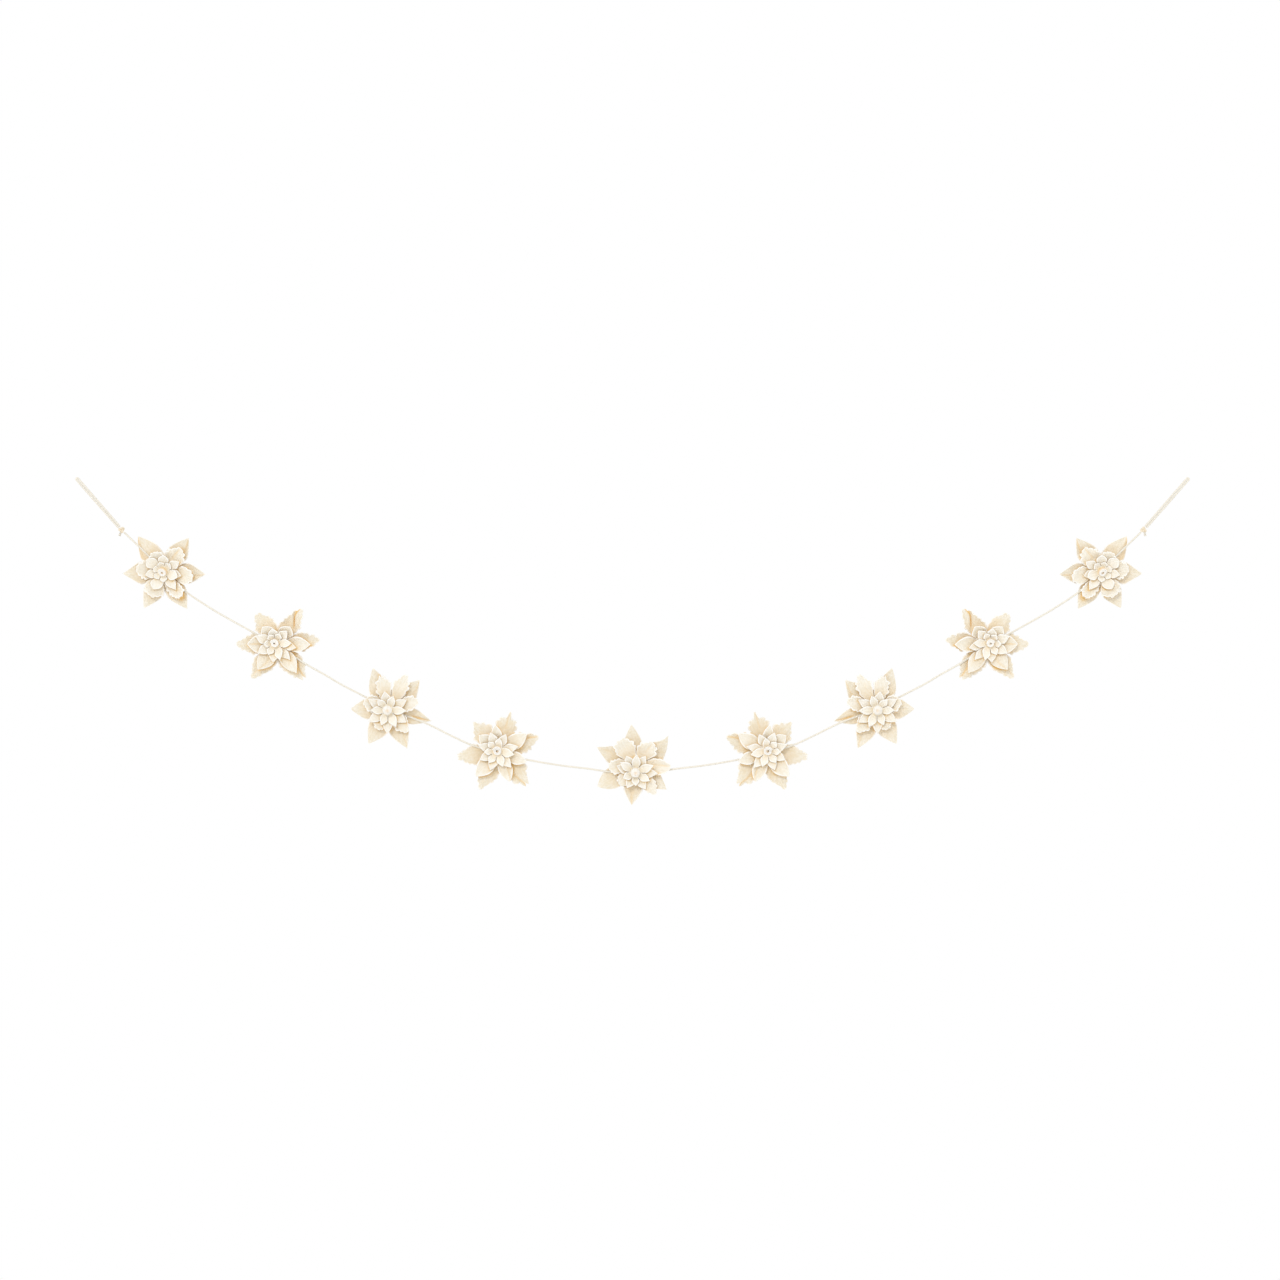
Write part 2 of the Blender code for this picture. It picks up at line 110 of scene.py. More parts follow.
class ShaderSketch:
    """The node tree of one finish while it is put together."""

    def __init__(self, name: str) -> None:
        """Start a material that has only its Principled shader.

        Args:
            name: the material's name.
        """
        self.material = bpy.data.materials.new(name)
        self.material.use_nodes = True
        self.tree = self.material.node_tree
        self.surface = self.tree.nodes["Principled BSDF"]

    def add(self, kind: str, inputs: dict[str, object] | None = None, **settings: object) -> bpy.types.Node:
        """Add a node.

        Args:
            kind: the node's Blender type.
            inputs: what its sockets take: a value, or a socket that is linked.
            settings: its own properties.

        Returns:
            The new node.
        """
        node = self.tree.nodes.new(kind)
        for name, value in settings.items():
            setattr(node, name, value)
        for name, value in (inputs or {}).items():
            self.feed(node.inputs[name], value)
        return node

    def feed(self, socket: bpy.types.NodeSocket, value: object) -> None:
        """Link a socket to value where that is a socket too, or else set it.

        Args:
            socket: the input to fill.
            value: the socket or the plain value that it takes.
        """
        if isinstance(value, bpy.types.NodeSocket):
            self.tree.links.new(value, socket)
        else:
            socket.default_value = value

    def place(self) -> bpy.types.NodeSocket:
        """Return the point on the piece, in metres."""
        return self.add("ShaderNodeTexCoord").outputs["Object"]

    def front(self, behind: float) -> bpy.types.NodeSocket:
        """Tell a piece's front from its back.

        Args:
            behind: the result on faces turned to the back.

        Returns:
            1 on faces turned to the front, fading to behind.
        """
        normal = self.add("ShaderNodeNewGeometry").outputs["Normal"]
        depth = self.add("ShaderNodeSeparateXYZ", {"Vector": normal}).outputs["Y"]
        return self.spread(depth, 0.0, 0.35, 1.0, behind)

    def grain(self, where: bpy.types.NodeSocket, scale: float, detail: float = 3.0,
              distortion: float = 0.0) -> bpy.types.NodeSocket:
        """Return soft noise from about 0.3 to 0.7, scale cells to the metre."""
        inputs = {"Vector": where, "Scale": scale, "Detail": detail, "Distortion": distortion}
        return self.add("ShaderNodeTexNoise", inputs).outputs["Fac"]

    def spread(self, value: bpy.types.NodeSocket, low: float, high: float,
               to_low: float = 0.0, to_high: float = 1.0) -> bpy.types.NodeSocket:
        """Move a value from one range to another, and hold it there.

        Args:
            value: the value.
            low: the start of its range.
            high: the end of its range.
            to_low: the start of the new range.
            to_high: the end of the new range.

        Returns:
            The value in the new range.
        """
        inputs = {
            "Value": value, "From Min": low, "From Max": high, "To Min": to_low, "To Max": to_high,
        }
        return self.add("ShaderNodeMapRange", inputs, clamp=True).outputs["Result"]

    def blend(self, amount: bpy.types.NodeSocket, first: object,
              second: object) -> bpy.types.NodeSocket:
        """Return two colours mixed.

        Args:
            amount: 0 for the first colour, 1 for the second.
            first: a colour or a socket.
            second: a colour or a socket.

        Returns:
            The mixed colour.
        """
        node = self.add("ShaderNodeMix", data_type="RGBA")
        factor, base, other = (
            [socket for socket in node.inputs if socket.name == name and socket.enabled][0]
            for name in ("Factor", "A", "B")
        )
        self.feed(factor, amount)
        self.feed(base, first if isinstance(first, bpy.types.NodeSocket) else (*first, 1))
        self.feed(other, second if isinstance(second, bpy.types.NodeSocket) else (*second, 1))
        return [socket for socket in node.outputs if socket.enabled][0]

    def sum(self, *values: object) -> bpy.types.NodeSocket:
        """Add up sockets and numbers.

        Args:
            values: what is added.

        Returns:
            The sum.
        """
        total = values[0]
        for value in values[1:]:
            node = self.add("ShaderNodeMath", operation="ADD")
            self.feed(node.inputs[0], total)
            self.feed(node.inputs[1], value)
            total = node.outputs[0]
        return total

    def share(self, value: bpy.types.NodeSocket, factor: object) -> bpy.types.NodeSocket:
        """Take a share of a value.

        Args:
            value: the value.
            factor: a number or a socket.

        Returns:
            The value times the factor.
        """
        node = self.add("ShaderNodeMath", operation="MULTIPLY")
        self.feed(node.inputs[0], value)
        self.feed(node.inputs[1], factor)
        return node.outputs[0]

    def roughen(self, height: bpy.types.NodeSocket, depth: float) -> None:
        """Bump the surface by height, depth metres deep."""
        bump = self.add("ShaderNodeBump", {"Height": height, "Distance": depth})
        self.tree.links.new(bump.outputs["Normal"], self.surface.inputs["Normal"])

    def finish(self, colour: bpy.types.NodeSocket, roughness: float, sheen: float) -> bpy.types.Material:
        """Join the colour to the shader and set its plain values.

        Args:
            colour: the surface's colour.
            roughness: how matt it is.
            sheen: how much fuzz it shows at a glancing view.

        Returns:
            The finished material.
        """
        self.tree.links.new(colour, self.surface.inputs["Base Color"])
        self.surface.inputs["Roughness"].default_value = roughness
        self.surface.inputs["Sheen Weight"].default_value = sheen
        self.surface.inputs["Sheen Roughness"].default_value = FUZZ_SPREAD
        self.surface.inputs["Specular IOR Level"].default_value = WOOL_GLOSS
        return self.material


@dataclass(frozen=True)
class FeltFinish:
    """Pressed wool felt: a mottled body, matted fibres, a paler, looser cut edge that is partly a painted
    highlight, and painted shade.

    Attributes:
        name: the material's name.
        pale: the felt's main colour.
        warm: the colour of its thicker, denser patches.
        cut: the colour of its cut edge, partly the paler cut felt and partly a painted highlight.
        deep: painted shade colour, put on its root, in its folds and under and around the stars in front.
        mottle: how strongly the warm patches show.
        blotches: how strongly smaller patches show.
        specks: how strongly single fibres show.
        streaks: how strongly streaks along a petal show.
        edge_share: how far a cut edge has its own colour.
        back_painted_shade_share: how much of that painted shade roots and folds keep on the back, which less
            shade falls on.
        patches: patches to the metre.
        fibres: matted fibres to the metre.
        nap: how deep the fibres stand, in metres.
        roughness: how matt it is.
        fuzz: how much fuzz it shows at a glancing view.
    """

    name: str
    pale: Colour
    warm: Colour
    cut: Colour
    deep: Colour
    mottle: float = 0.5
    blotches: float = 0.45
    specks: float = 0.30
    streaks: float = 0.5
    edge_share: float = 0.8
    back_painted_shade_share: float = 0.2
    patches: float = 110.0
    fibres: float = 900.0
    nap: float = 0.16 * MM
    roughness: float = 0.95
    fuzz: float = 0.25

    def material(self) -> bpy.types.Material:
        """Build the felt's material.

        Returns:
            The material.
        """
        sketch = ShaderSketch(self.name)
        where = sketch.place()
        patches = sketch.spread(sketch.grain(where, self.patches), 0.36, 0.66, 0.0, self.mottle)
        small = sketch.grain(where, self.patches * 3.4, 2.0)
        blotches = sketch.spread(small, 0.34, 0.66, -0.2, self.blotches)
        specks = sketch.spread(sketch.grain(where, self.fibres, 2.0), 0.30, 0.70, -0.1, self.specks)
        drawn = sketch.grain(self.lengthways(sketch), self.fibres * 0.62, 2.0)
        streaks = sketch.spread(drawn, 0.36, 0.66, -0.25, self.streaks)
        body = sketch.blend(sketch.sum(patches, blotches, specks, streaks), self.pale, self.warm)
        # Painted shade: the deep colour where the root mark is set, weaker on faces turned to the back; then
        # the cut edge's pale colour, which is partly a painted highlight.
        root = sketch.add("ShaderNodeAttribute", attribute_name="root").outputs["Fac"]
        body = sketch.blend(sketch.share(root, sketch.front(self.back_painted_shade_share)), body, self.deep)
        edge = sketch.add("ShaderNodeAttribute", attribute_name="cut_edge_and_highlight").outputs["Fac"]
        body = sketch.blend(sketch.share(edge, self.edge_share), body, self.cut)
        hairs = sketch.add(
            "ShaderNodeTexWave",
            {"Vector": where, "Scale": self.fibres / 3, "Distortion": 22.0, "Detail": 3.0,
             "Detail Scale": 1.7},
        ).outputs["Fac"]
        tufts = sketch.grain(where, self.fibres * 0.8, 4.0, 1.5)
        pills = sketch.grain(where, self.fibres / 5, 2.0)
        height = sketch.sum(sketch.share(hairs, 0.45), tufts, sketch.share(pills, 1.6), drawn)
        sketch.roughen(height, self.nap)
        return sketch.finish(body, self.roughness, self.fuzz)

    def lengthways(self, sketch: ShaderSketch) -> bpy.types.NodeSocket:
        """Shrink the place on a petal along it, so that fibres run that way.

        Args:
            sketch: the finish that they are drawn in.

        Returns:
            The place.
        """
        lay = sketch.add("ShaderNodeUVMap", uv_map="lay").outputs["UV"]
        shrunk = sketch.add("ShaderNodeVectorMath", operation="MULTIPLY")
        sketch.feed(shrunk.inputs[0], lay)
        sketch.feed(shrunk.inputs[1], (1.0, 0.2, 1.0))
        return shrunk.outputs["Vector"]


@dataclass(frozen=True)
class CordFinish:
    """Twisted cotton: pale plies with fine yarns across them, and painted shade in the grooves between.

    Attributes:
        name: the material's name.
        pale: the plies' colour.
        groove: painted shade colour for the grooves between the plies, also used in patches all over.
        dust: how strongly grooves' colour shows in patches all over.
        depth: how strongly the painted shade shows between the plies.
        yarns: fine yarns to the metre.
        nap: how deep the yarns stand, in metres.
        roughness: how matt it is.
        fuzz: how much fuzz it shows at a glancing view.
    """

    name: str
    pale: Colour
    groove: Colour
    dust: float = 0.35
    depth: float = 0.22
    yarns: float = 2600.0
    nap: float = 0.04 * MM
    roughness: float = 0.9
    fuzz: float = 0.2

    def material(self) -> bpy.types.Material:
        """Build the cord's material.

        Returns:
            The material.
        """
        sketch = ShaderSketch(self.name)
        where = sketch.place()
        dust = sketch.spread(sketch.grain(where, 400.0), 0.35, 0.70, 0.0, self.dust)
        body = sketch.blend(dust, self.pale, self.groove)
        # Painted shade in the grooves between the plies.
        groove = sketch.add("ShaderNodeAttribute", attribute_name="groove").outputs["Fac"]
        body = sketch.blend(sketch.share(groove, self.depth), body, self.groove)
        lay = sketch.add("ShaderNodeUVMap", uv_map="lay").outputs["UV"]
        yarns = sketch.add(
            "ShaderNodeTexWave",
            {"Vector": lay, "Scale": self.yarns / 6.3, "Distortion": 1.5, "Detail": 2.0},
            wave_type="BANDS", bands_direction="DIAGONAL",
        ).outputs["Fac"]
        fuzz = sketch.grain(where, 2200.0, 3.0, 1.0)
        sketch.roughen(sketch.sum(yarns, sketch.share(fuzz, 0.8)), self.nap)
        return sketch.finish(body, self.roughness, self.fuzz)


# The colour of every cut edge, partly the paler cut felt and partly a painted highlight, and the finishes of
# a flower's four layers and of its centre piece. Each felt finish's last colour is painted shade.
RIM_AND_HIGHLIGHT = (0.98, 0.972, 0.95)
FELT_FINISHES = {
    "outer": FeltFinish("oatmeal_felt", (0.865, 0.815, 0.71), (0.81, 0.73, 0.57), RIM_AND_HIGHLIGHT, (0.81, 0.50, 0.145)),
    "middle": FeltFinish("cream_felt", (0.89, 0.855, 0.77), (0.85, 0.785, 0.65), RIM_AND_HIGHLIGHT, (0.84, 0.55, 0.19)),
    "inner": FeltFinish("ivory_felt", (0.905, 0.875, 0.81), (0.865, 0.815, 0.705), RIM_AND_HIGHLIGHT, (0.86, 0.60, 0.24)),
    "small": FeltFinish("pale_ivory_felt", (0.915, 0.89, 0.83), (0.88, 0.84, 0.74), RIM_AND_HIGHLIGHT, (0.87, 0.65, 0.30)),
    "centre": FeltFinish(
        "felted_wool", (0.925, 0.905, 0.86), (0.88, 0.83, 0.74), RIM_AND_HIGHLIGHT, (0.84, 0.55, 0.23), nap=0.22 * MM,
    ),
}
# The second colour of each cord finish is painted shade for the grooves between the plies.
CORD_FINISH = CordFinish("twisted_cotton", (0.87, 0.83, 0.735), (0.79, 0.70, 0.56))
# The knot is the same cotton, painted darker and warmer all over: painted shade for its tight turns.
SHADED_KNOT_FINISH = CordFinish("tied_cotton_painted_shade", (0.86, 0.77, 0.61), (0.68, 0.53, 0.35))


# ---------------------------------------------------------------------------------------- studio


@dataclass
class Studio:
    """The camera, the lights and the floor.

    Attributes:
        low: the garland's lowest corner.
        high: its highest corner.
        frame_share: the picture's width over the garland's.
        across: how far right of the garland's middle the camera stands.
        above: how far above its middle.
        lens: the lens in millimetres, long, so that the garland is seen nearly flat.
        sensor: the sensor's width in millimetres.
        key_strength: the key light's strength.
        key_width: how wide it looks from the garland, in degrees.
        key_turns: how it is turned from straight down, in degrees: forwards, then anticlockwise
            as seen from above.
        floor_drop: the floor below the garland.
        floor_size: the floor's half width.
    """

    low: Vector
    high: Vector
    frame_share: float = 1.1467
    across: float = 0.0104
    above: float = 0.0017
    lens: float = 100.0
    sensor: float = 36.0
    key_strength: float = 0.62
    key_width: float = 8.0
    key_turns: tuple[float, float] = (65.0, -16.0)
    floor_drop: float = 2.4
    floor_size: float = 7.0

    def build(self) -> None:
        """Make the camera, the lights and the floor."""
        self.add_camera()
        self.add_light()
        self.add_floor()

    def add_camera(self) -> None:
        """Stand the camera straight in front of the garland."""
        width = (self.high.x - self.low.x) * self.frame_share
        middle = (self.low + self.high) / 2
        data = bpy.data.cameras.new("camera")
        data.lens = self.lens
        data.sensor_width = self.sensor
        camera = bpy.data.objects.new("camera", data)
        distance = width * self.lens / self.sensor
        camera.location = middle + Vector((self.across, -distance, self.above))
        camera.rotation_euler = (math.pi / 2, 0, 0)
        bpy.context.scene.collection.objects.link(camera)
        bpy.context.scene.camera = camera
        bpy.context.scene.view_settings.view_transform = "Standard"

    def add_light(self) -> None:
        """Light an even white room, with a soft key from above the viewer's left shoulder."""
        world = bpy.data.worlds.new("white_room")
        world.use_nodes = True
        room = world.node_tree.nodes["Background"]
        room.inputs["Color"].default_value = (1, 1, 1, 1)
        room.inputs["Strength"].default_value = 1.0
        bpy.context.scene.world = world
        key = bpy.data.lights.new("key", "SUN")
        key.energy = self.key_strength
        key.angle = math.radians(self.key_width)
        light = bpy.data.objects.new("key", key)
        forwards, around = self.key_turns
        light.rotation_euler = (math.radians(forwards), 0, math.radians(around))
        bpy.context.scene.collection.objects.link(light)

    def add_floor(self) -> None:
        """Lay a plain white floor well below the garland."""
        sheet = bmesh.new()
        bmesh.ops.create_grid(sheet, x_segments=1, y_segments=1, size=self.floor_size)
        place = Vector(((self.low.x + self.high.x) / 2, 0, self.low.z - self.floor_drop))
        bmesh.ops.translate(sheet, verts=sheet.verts, vec=place)
        data = bpy.data.meshes.new("floor")
        sheet.to_mesh(data)
        sheet.free()
        sketch = ShaderSketch("white_floor")
        cloud = sketch.spread(sketch.grain(sketch.place(), 1.5, 2.0), 0.3, 0.7)
        colour = sketch.blend(cloud, (0.96, 0.96, 0.955), (0.95, 0.95, 0.945))
        data.materials.append(sketch.finish(colour, 0.9, 0.0))
        floor = bpy.data.objects.new("floor", data)
        bpy.context.scene.collection.objects.link(floor)
        floor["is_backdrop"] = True


# ----------------------------------------------------------------------------------------- pieces


def add_piece(name: str, shape: bmesh.types.BMesh, finish: bpy.types.Material,
              slot: str) -> bpy.types.Object:
    """Make a piece from its finished mesh, and let it ride on the garland.

    Args:
        name: the piece's name.
        shape: its mesh, which is freed.
        finish: its material.
        slot: the record's material slot; not used.

    Returns:
        The new object, smooth shaded, at the origin.
    """
    data = bpy.data.meshes.new(name)
    shape.to_mesh(data)
    shape.free()
    data.shade_smooth()
    data.materials.append(finish)
    piece = bpy.data.objects.new(name, data)
    bpy.context.scene.collection.objects.link(piece)
    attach(piece, "root")
    return piece


def felt_mesh() -> bmesh.types.BMesh:
    """Start the mesh of a felt piece.

    Returns:
        An empty mesh with the marks that the felt's finish reads: its cut edge, its root and lay.
    """
    shape = bmesh.new()
    shape.verts.layers.float.new("cut_edge_and_highlight")
    shape.verts.layers.float.new("root")
    shape.loops.layers.uv.new("lay")
    return shape


def make_felt(piece: bpy.types.Object, thickness: float) -> None:
    """Give a piece's middle surface the thickness and the soft edges of felt.

    Args:
        piece: the piece, which keeps the two modifiers.
        thickness: the felt's thickness.
    """
    felt = piece.modifiers.new("felt", "SOLIDIFY")
    felt.thickness = thickness
    felt.offset = 0
    soft = piece.modifiers.new("soft_edge", "SUBSURF")
    soft.levels = 1
    soft.render_levels = 1


def count_triangles(piece: bpy.types.Object) -> int:
    """Return how many triangles the piece has with its modifiers."""
    shown = piece.evaluated_get(bpy.context.evaluated_depsgraph_get())
    return sum(len(face.vertices) - 2 for face in shown.data.polygons)


def smooth_route(route: Sequence[Vector], spacing: float) -> list[Vector]:
    """Return evenly spaced points on a smooth curve through the route's points.

    Args:
        route: the points that the curve goes through.
        spacing: about how far apart the new points are.

    Returns:
        The points, the route's own ends first and last.
    """
    ends = [2 * route[0] - route[1], *route, 2 * route[-1] - route[-2]]
    fine = [route[0]]
    steps = 40
    for before, start, end, after in zip(ends, ends[1:], ends[2:], ends[3:]):
        for step in range(1, steps + 1):
            t = step / steps
            fine.append(0.5 * (
                2 * start + (end - before) * t
                + (2 * before - 5 * start + 4 * end - after) * t * t
                + (3 * start - before - 3 * end + after) * t * t * t
            ))
    return even_points(fine, spacing)


def even_points(line: Sequence[Vector], spacing: float) -> list[Vector]:
    """Share a fine line out evenly.

    Args:
        line: the fine line's points.
        spacing: about how far apart the new points are.

    Returns:
        The points, the line's own ends first and last.
    """
    count = max(2, round(line_length(line) / spacing))
    return [line[place].lerp(line[place + 1], part) for place, part in even_places(line, count)]


def even_places(line: Sequence[Vector], count: int) -> list[tuple[int, float]]:
    """Find the places that part a fine line into equal lengths.

    Args:
        line: the fine line's points.
        count: how many lengths there are.

    Returns:
        For each place, the number of the fine point before it and its part of the way to the next.
    """
    lengths = [0.0]
    for start, end in zip(line, line[1:]):
        lengths.append(lengths[-1] + (end - start).length)
    places = []
    before = 0
    for number in range(count + 1):
        wanted = lengths[-1] * number / count
        while before < len(line) - 2 and lengths[before + 1] < wanted:
            before += 1
        places.append((before, (wanted - lengths[before]) / (lengths[before + 1] - lengths[before])))
    return places


def line_length(line: Sequence[Vector]) -> float:
    """Return the length of a line of points."""
    return sum((end - start).length for start, end in zip(line, line[1:]))


# ------------------------------------------------------------------------------------------ cords

# The left half of the cord's route in millimetres, from the left knot's middle on, and the height
# of its lowest point, half way along. Then the hang loop's strands, from its knot to its tip: how
# far along the loop, and how far apart as a part of their widest space.
CORD_ROUTE = (
    (62.5, -71.5), (74, -82.5), (87, -95), (103, -111), (122, -132), (152.5, -158), (188, -181.5),
    (213, -196), (249, -216), (279, -233), (319.5, -258.5), (346, -273.5), (368, -286.5),
    (401, -303.5), (434.5, -321), (481.5, -338.5), (520.5, -357.5), (548, -370), (587, -382),
    (627, -391), (671.5, -398.5), (709, -403), (738, -407),
)
CORD_LOWEST = -408.0
LOOP_ROUTE = ((0.048, 0.89), (0.3, 0.94), (0.6, 1.0), (0.85, 1.0))


@dataclass(frozen=True)
class Twist:
    """How plies are laid into a cord.

    Attributes:
        width: the finished cord's diameter.
        plies: strands twisted together.
        lay: the length of one full turn.
        points: points across each ply.
        groove: the radius between two plies, as a part of the cord's.
        step: the length between two rings of the mesh.
    """

    width: float = CORD_WIDTH
    plies: int = 3
    lay: float = 8.0 * MM
    points: int = 5
    groove: float = 0.955
    step: float = 0.95 * MM

    def radius(self, share: float) -> float:
        """Return the cord's radius at a share of a ply's width, 0 in one groove and 1 in the next."""
        crown = math.sin(math.pi * share) ** 0.7 if 0 < share < 1 else 0.0
        return self.width / 2 * mix(self.groove, 1.0, crown)


# How far the knot's line reaches from its middle, as a multiple of its own size, and the length
# between two rings of its mesh.
KNOT_REACH = 3.35
KNOT_STEP = 0.35 * MM

# The golden section, which spaces yarns out evenly round a cord and in length without a pattern.
GOLDEN_TURN = 0.382
GOLDEN_PART = 0.618

# The fine yarns that the cord comes apart in at its cut ends.
YARN = Twist(width=0.62 * MM, plies=2, lay=3.0 * MM, points=4, groove=0.75, step=0.4 * MM)


def turned_frames(line: Sequence[Vector]) -> Iterator[tuple[Vector, Vector, Vector]]:
    """Carry two directions square to a line along it without letting them twist.

    Args:
        line: the points of the line.

    Returns:
        For each point, the point and the two directions.
    """
    along = (line[1] - line[0]).normalized()
    out = along.cross(Vector((0, 1, 0)))
    if out.length < 0.1:
        out = along.cross(Vector((1, 0, 0)))
    out.normalize()
    for number, point in enumerate(line):
        before = line[max(number - 1, 0)]
        after = line[min(number + 1, len(line) - 1)]
        turned = (after - before).normalized()
        out = (along.rotation_difference(turned) @ out).normalized()
        along = turned
        yield point, out, along.cross(out).normalized()


@dataclass
class TwistedCord:
    """A length of plied cotton cord along a line, closed at both ends.

    Attributes:
        line: the cord's centre line, closely spaced.
        twist: how it is laid.
        phase: the turn of the plies at the start.
        rounding: the last ring but one, as a part of the cord's width.
    """

    line: list[Vector]
    twist: Twist = Twist()
    phase: float = 0.0
    rounding: float = 0.82

    def shape(self) -> bmesh.types.BMesh:
        """Wind the plies round the line.

        Returns:
            The cord's closed mesh, with its grooves marked for painted shade.
        """
        twist = self.twist
        around = twist.plies * twist.points
        rings = len(self.line) - 1
        shape = bmesh.new()
        groove = shape.verts.layers.float.new("groove")
        bmesh.ops.create_grid(shape, x_segments=around, y_segments=rings, size=0.5)
        frames = list(turned_frames(self.line))
        step = line_length(self.line) / rings
        for vertex in shape.verts:
            side = round((vertex.co.x + 0.5) * around)
            ring = round((vertex.co.y + 0.5) * rings)
            point, out, over = frames[ring]
            share = (side % twist.points) / twist.points
            angle = math.tau * (side / around + ring * step / twist.lay) + self.phase
            end = {0: 0.0, 1: self.rounding}.get(min(ring, rings - ring), 1.0)
            radius = twist.radius(share) * end
            vertex.co = point + (out * math.cos(angle) + over * math.sin(angle)) * radius
            # Mark the groove between two plies, where the finish paints shade.
            vertex[groove] = 1.0 if share == 0 else 0.0
        self.lay_map(shape, around, step)
        bmesh.ops.remove_doubles(shape, verts=shape.verts, dist=0.002 * MM)
        bmesh.ops.recalc_face_normals(shape, faces=shape.faces)
        return shape

    def lay_map(self, shape: bmesh.types.BMesh, around: int, step: float) -> None:
        """Map the cord in metres: across its plies, then along its length.

        Args:
            shape: the grid, its faces still in rows round the cord.
            around: faces round the cord.
            step: the length of a face.
        """
        lay = shape.loops.layers.uv.new("lay")
        width = math.pi * self.twist.width / around
        shape.faces.ensure_lookup_table()
        corners = ((0, 0), (1, 0), (1, 1), (0, 1))
        for number, face in enumerate(shape.faces):
            ring, side = divmod(number, around)
            for loop, (across, along) in zip(face.loops, corners):
                loop[lay].uv = ((side + across) * width, (ring + along) * step)


@dataclass
class HangLoop:
    """One end of the garland: the doubled cord, its knot and the knot's frayed tail.

    Attributes:
        side: "left" or "right".
        tip: where the loop hangs.
        knot: the knot's middle.
        strands: the widest space between the loop's strands, middle to middle.
        bend: the steps that its bend at the tip is worked out in.
        tail: the frayed tail's length.
        lean: how far the tail leans outwards.
        yarns: fine yarns in the tail.
        bundle: how far they lie from the tail's middle at most, where they leave the knot.
        splay: how much further at their ends.
        ragged: how long the shortest yarn is and the longest, against the tail.
        groove: the radius between two plies of the loop, which is pulled smooth.
        knot_steps: the steps that the knot is worked out in.
    """

    side: str
    tip: Vector
    knot: Vector
    strands: float = 3.1 * MM
    bend: int = 6
    tail: float = 5.5 * MM
    lean: float = 0.35
    yarns: int = 11
    bundle: float = 0.85 * MM
    splay: float = 2.1
    ragged: tuple[float, float] = (0.82, 1.06)
    groove: float = 0.985
    knot_steps: int = 96

    def build(self, finish: bpy.types.Material, tied: bpy.types.Material) -> bpy.types.Object:
        """Make the loop, its knot and its tail.

        Args:
            finish: the cord's material.
            tied: the knot's material, the cotton with painted shade.

        Returns:
            The loop.
        """
        line = self.loop_line()
        loop_shape = TwistedCord(line, Twist(groove=self.groove)).shape()
        loop = add_piece(f"{self.side}_hang_loop_cord", loop_shape, finish, "cotton_cord")
        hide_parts(f"{self.side}_hang_loop")
        knot = add_piece(f"{self.side}_tied_knot", self.knot_shape(), tied, "cotton_cord")
        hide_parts(f"{self.side}_knot")
        tail = add_piece(f"{self.side}_frayed_tail", self.tail_shape(), finish, "cotton_cord")
        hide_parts(f"{self.side}_cord_tail")
        tuple(line[0])
        line_length(line)
        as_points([tuple(point) for point in line[::4]] + [tuple(line[-1])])
        return loop

    def loop_line(self) -> list[Vector]:
        """Lay the doubled cord.

        Returns:
            Its centre line from the knot, round the tip and back.
        """
        along = self.tip - self.knot
        radius = self.strands / 2
        across = along.cross(Vector((0, 1, 0))).normalized() * radius
        ahead = along.normalized() * radius
        middle = self.tip - ahead
        out = [self.knot + along * part + across * spread for part, spread in LOOP_ROUTE]
        back = [self.knot + along * part - across * spread for part, spread in reversed(LOOP_ROUTE)]
        turns = [math.pi * step / self.bend for step in range(self.bend + 1)]
        bend = [middle + across * math.cos(turn) + ahead * math.sin(turn) for turn in turns]
        return smooth_route([*out, *bend, *back], Twist().step)

    def knot_shape(self) -> bmesh.types.BMesh:
        """Tie the overhand knot, pulled tight round the cord.

        Returns:
            The knot's mesh.
        """
        size = KNOT_RADIUS / KNOT_REACH
        along = (self.tip - self.knot).normalized()
        across = along.cross(Vector((0, 1, 0))).normalized()
        forward = Vector((0, -1, 0))
        line = []
        for number in range(self.knot_steps + 1):
            turn = math.tau * number / self.knot_steps
            line.append(
                self.knot
                + along * (math.sin(turn) + 2 * math.sin(2 * turn)) * size * 0.92
                + across * (math.cos(turn) - 2 * math.cos(2 * turn)) * size
                - forward * math.sin(3 * turn) * size
            )
        return TwistedCord(even_points(line, KNOT_STEP)).shape()

    def tail_shape(self) -> bmesh.types.BMesh:
        """Fray the cord's cut end below the knot.

        Returns:
            The mesh of its loose yarns.
        """
        way = -self.lean if self.side == "left" else self.lean
        down = Vector((way, 0, -1)).normalized()
        across = down.cross(Vector((0, 1, 0))).normalized()
        shape = bmesh.new()
        for number in range(self.yarns):
            turn = math.tau * number * GOLDEN_TURN
            spread = self.bundle * math.sqrt((number + 0.5) / self.yarns)
            out = across * math.cos(turn) + Vector((0, math.sin(turn), 0))
            reach = self.tail * mix(*self.ragged, (number * GOLDEN_PART) % 1)
            start = self.knot + down * KNOT_RADIUS * 0.8 + out * spread * 0.6
            end = self.knot + down * (KNOT_RADIUS + reach) + out * spread * self.splay
            bend = start.lerp(end, 0.5) + out * spread * 0.5
            strand = TwistedCord(smooth_route([start, bend, end], YARN.step), YARN, turn)
            part = bpy.data.meshes.new("yarn")
            piece = strand.shape()
            piece.to_mesh(part)
            piece.free()
            shape.from_mesh(part)
            bpy.data.meshes.remove(part)
        return shape


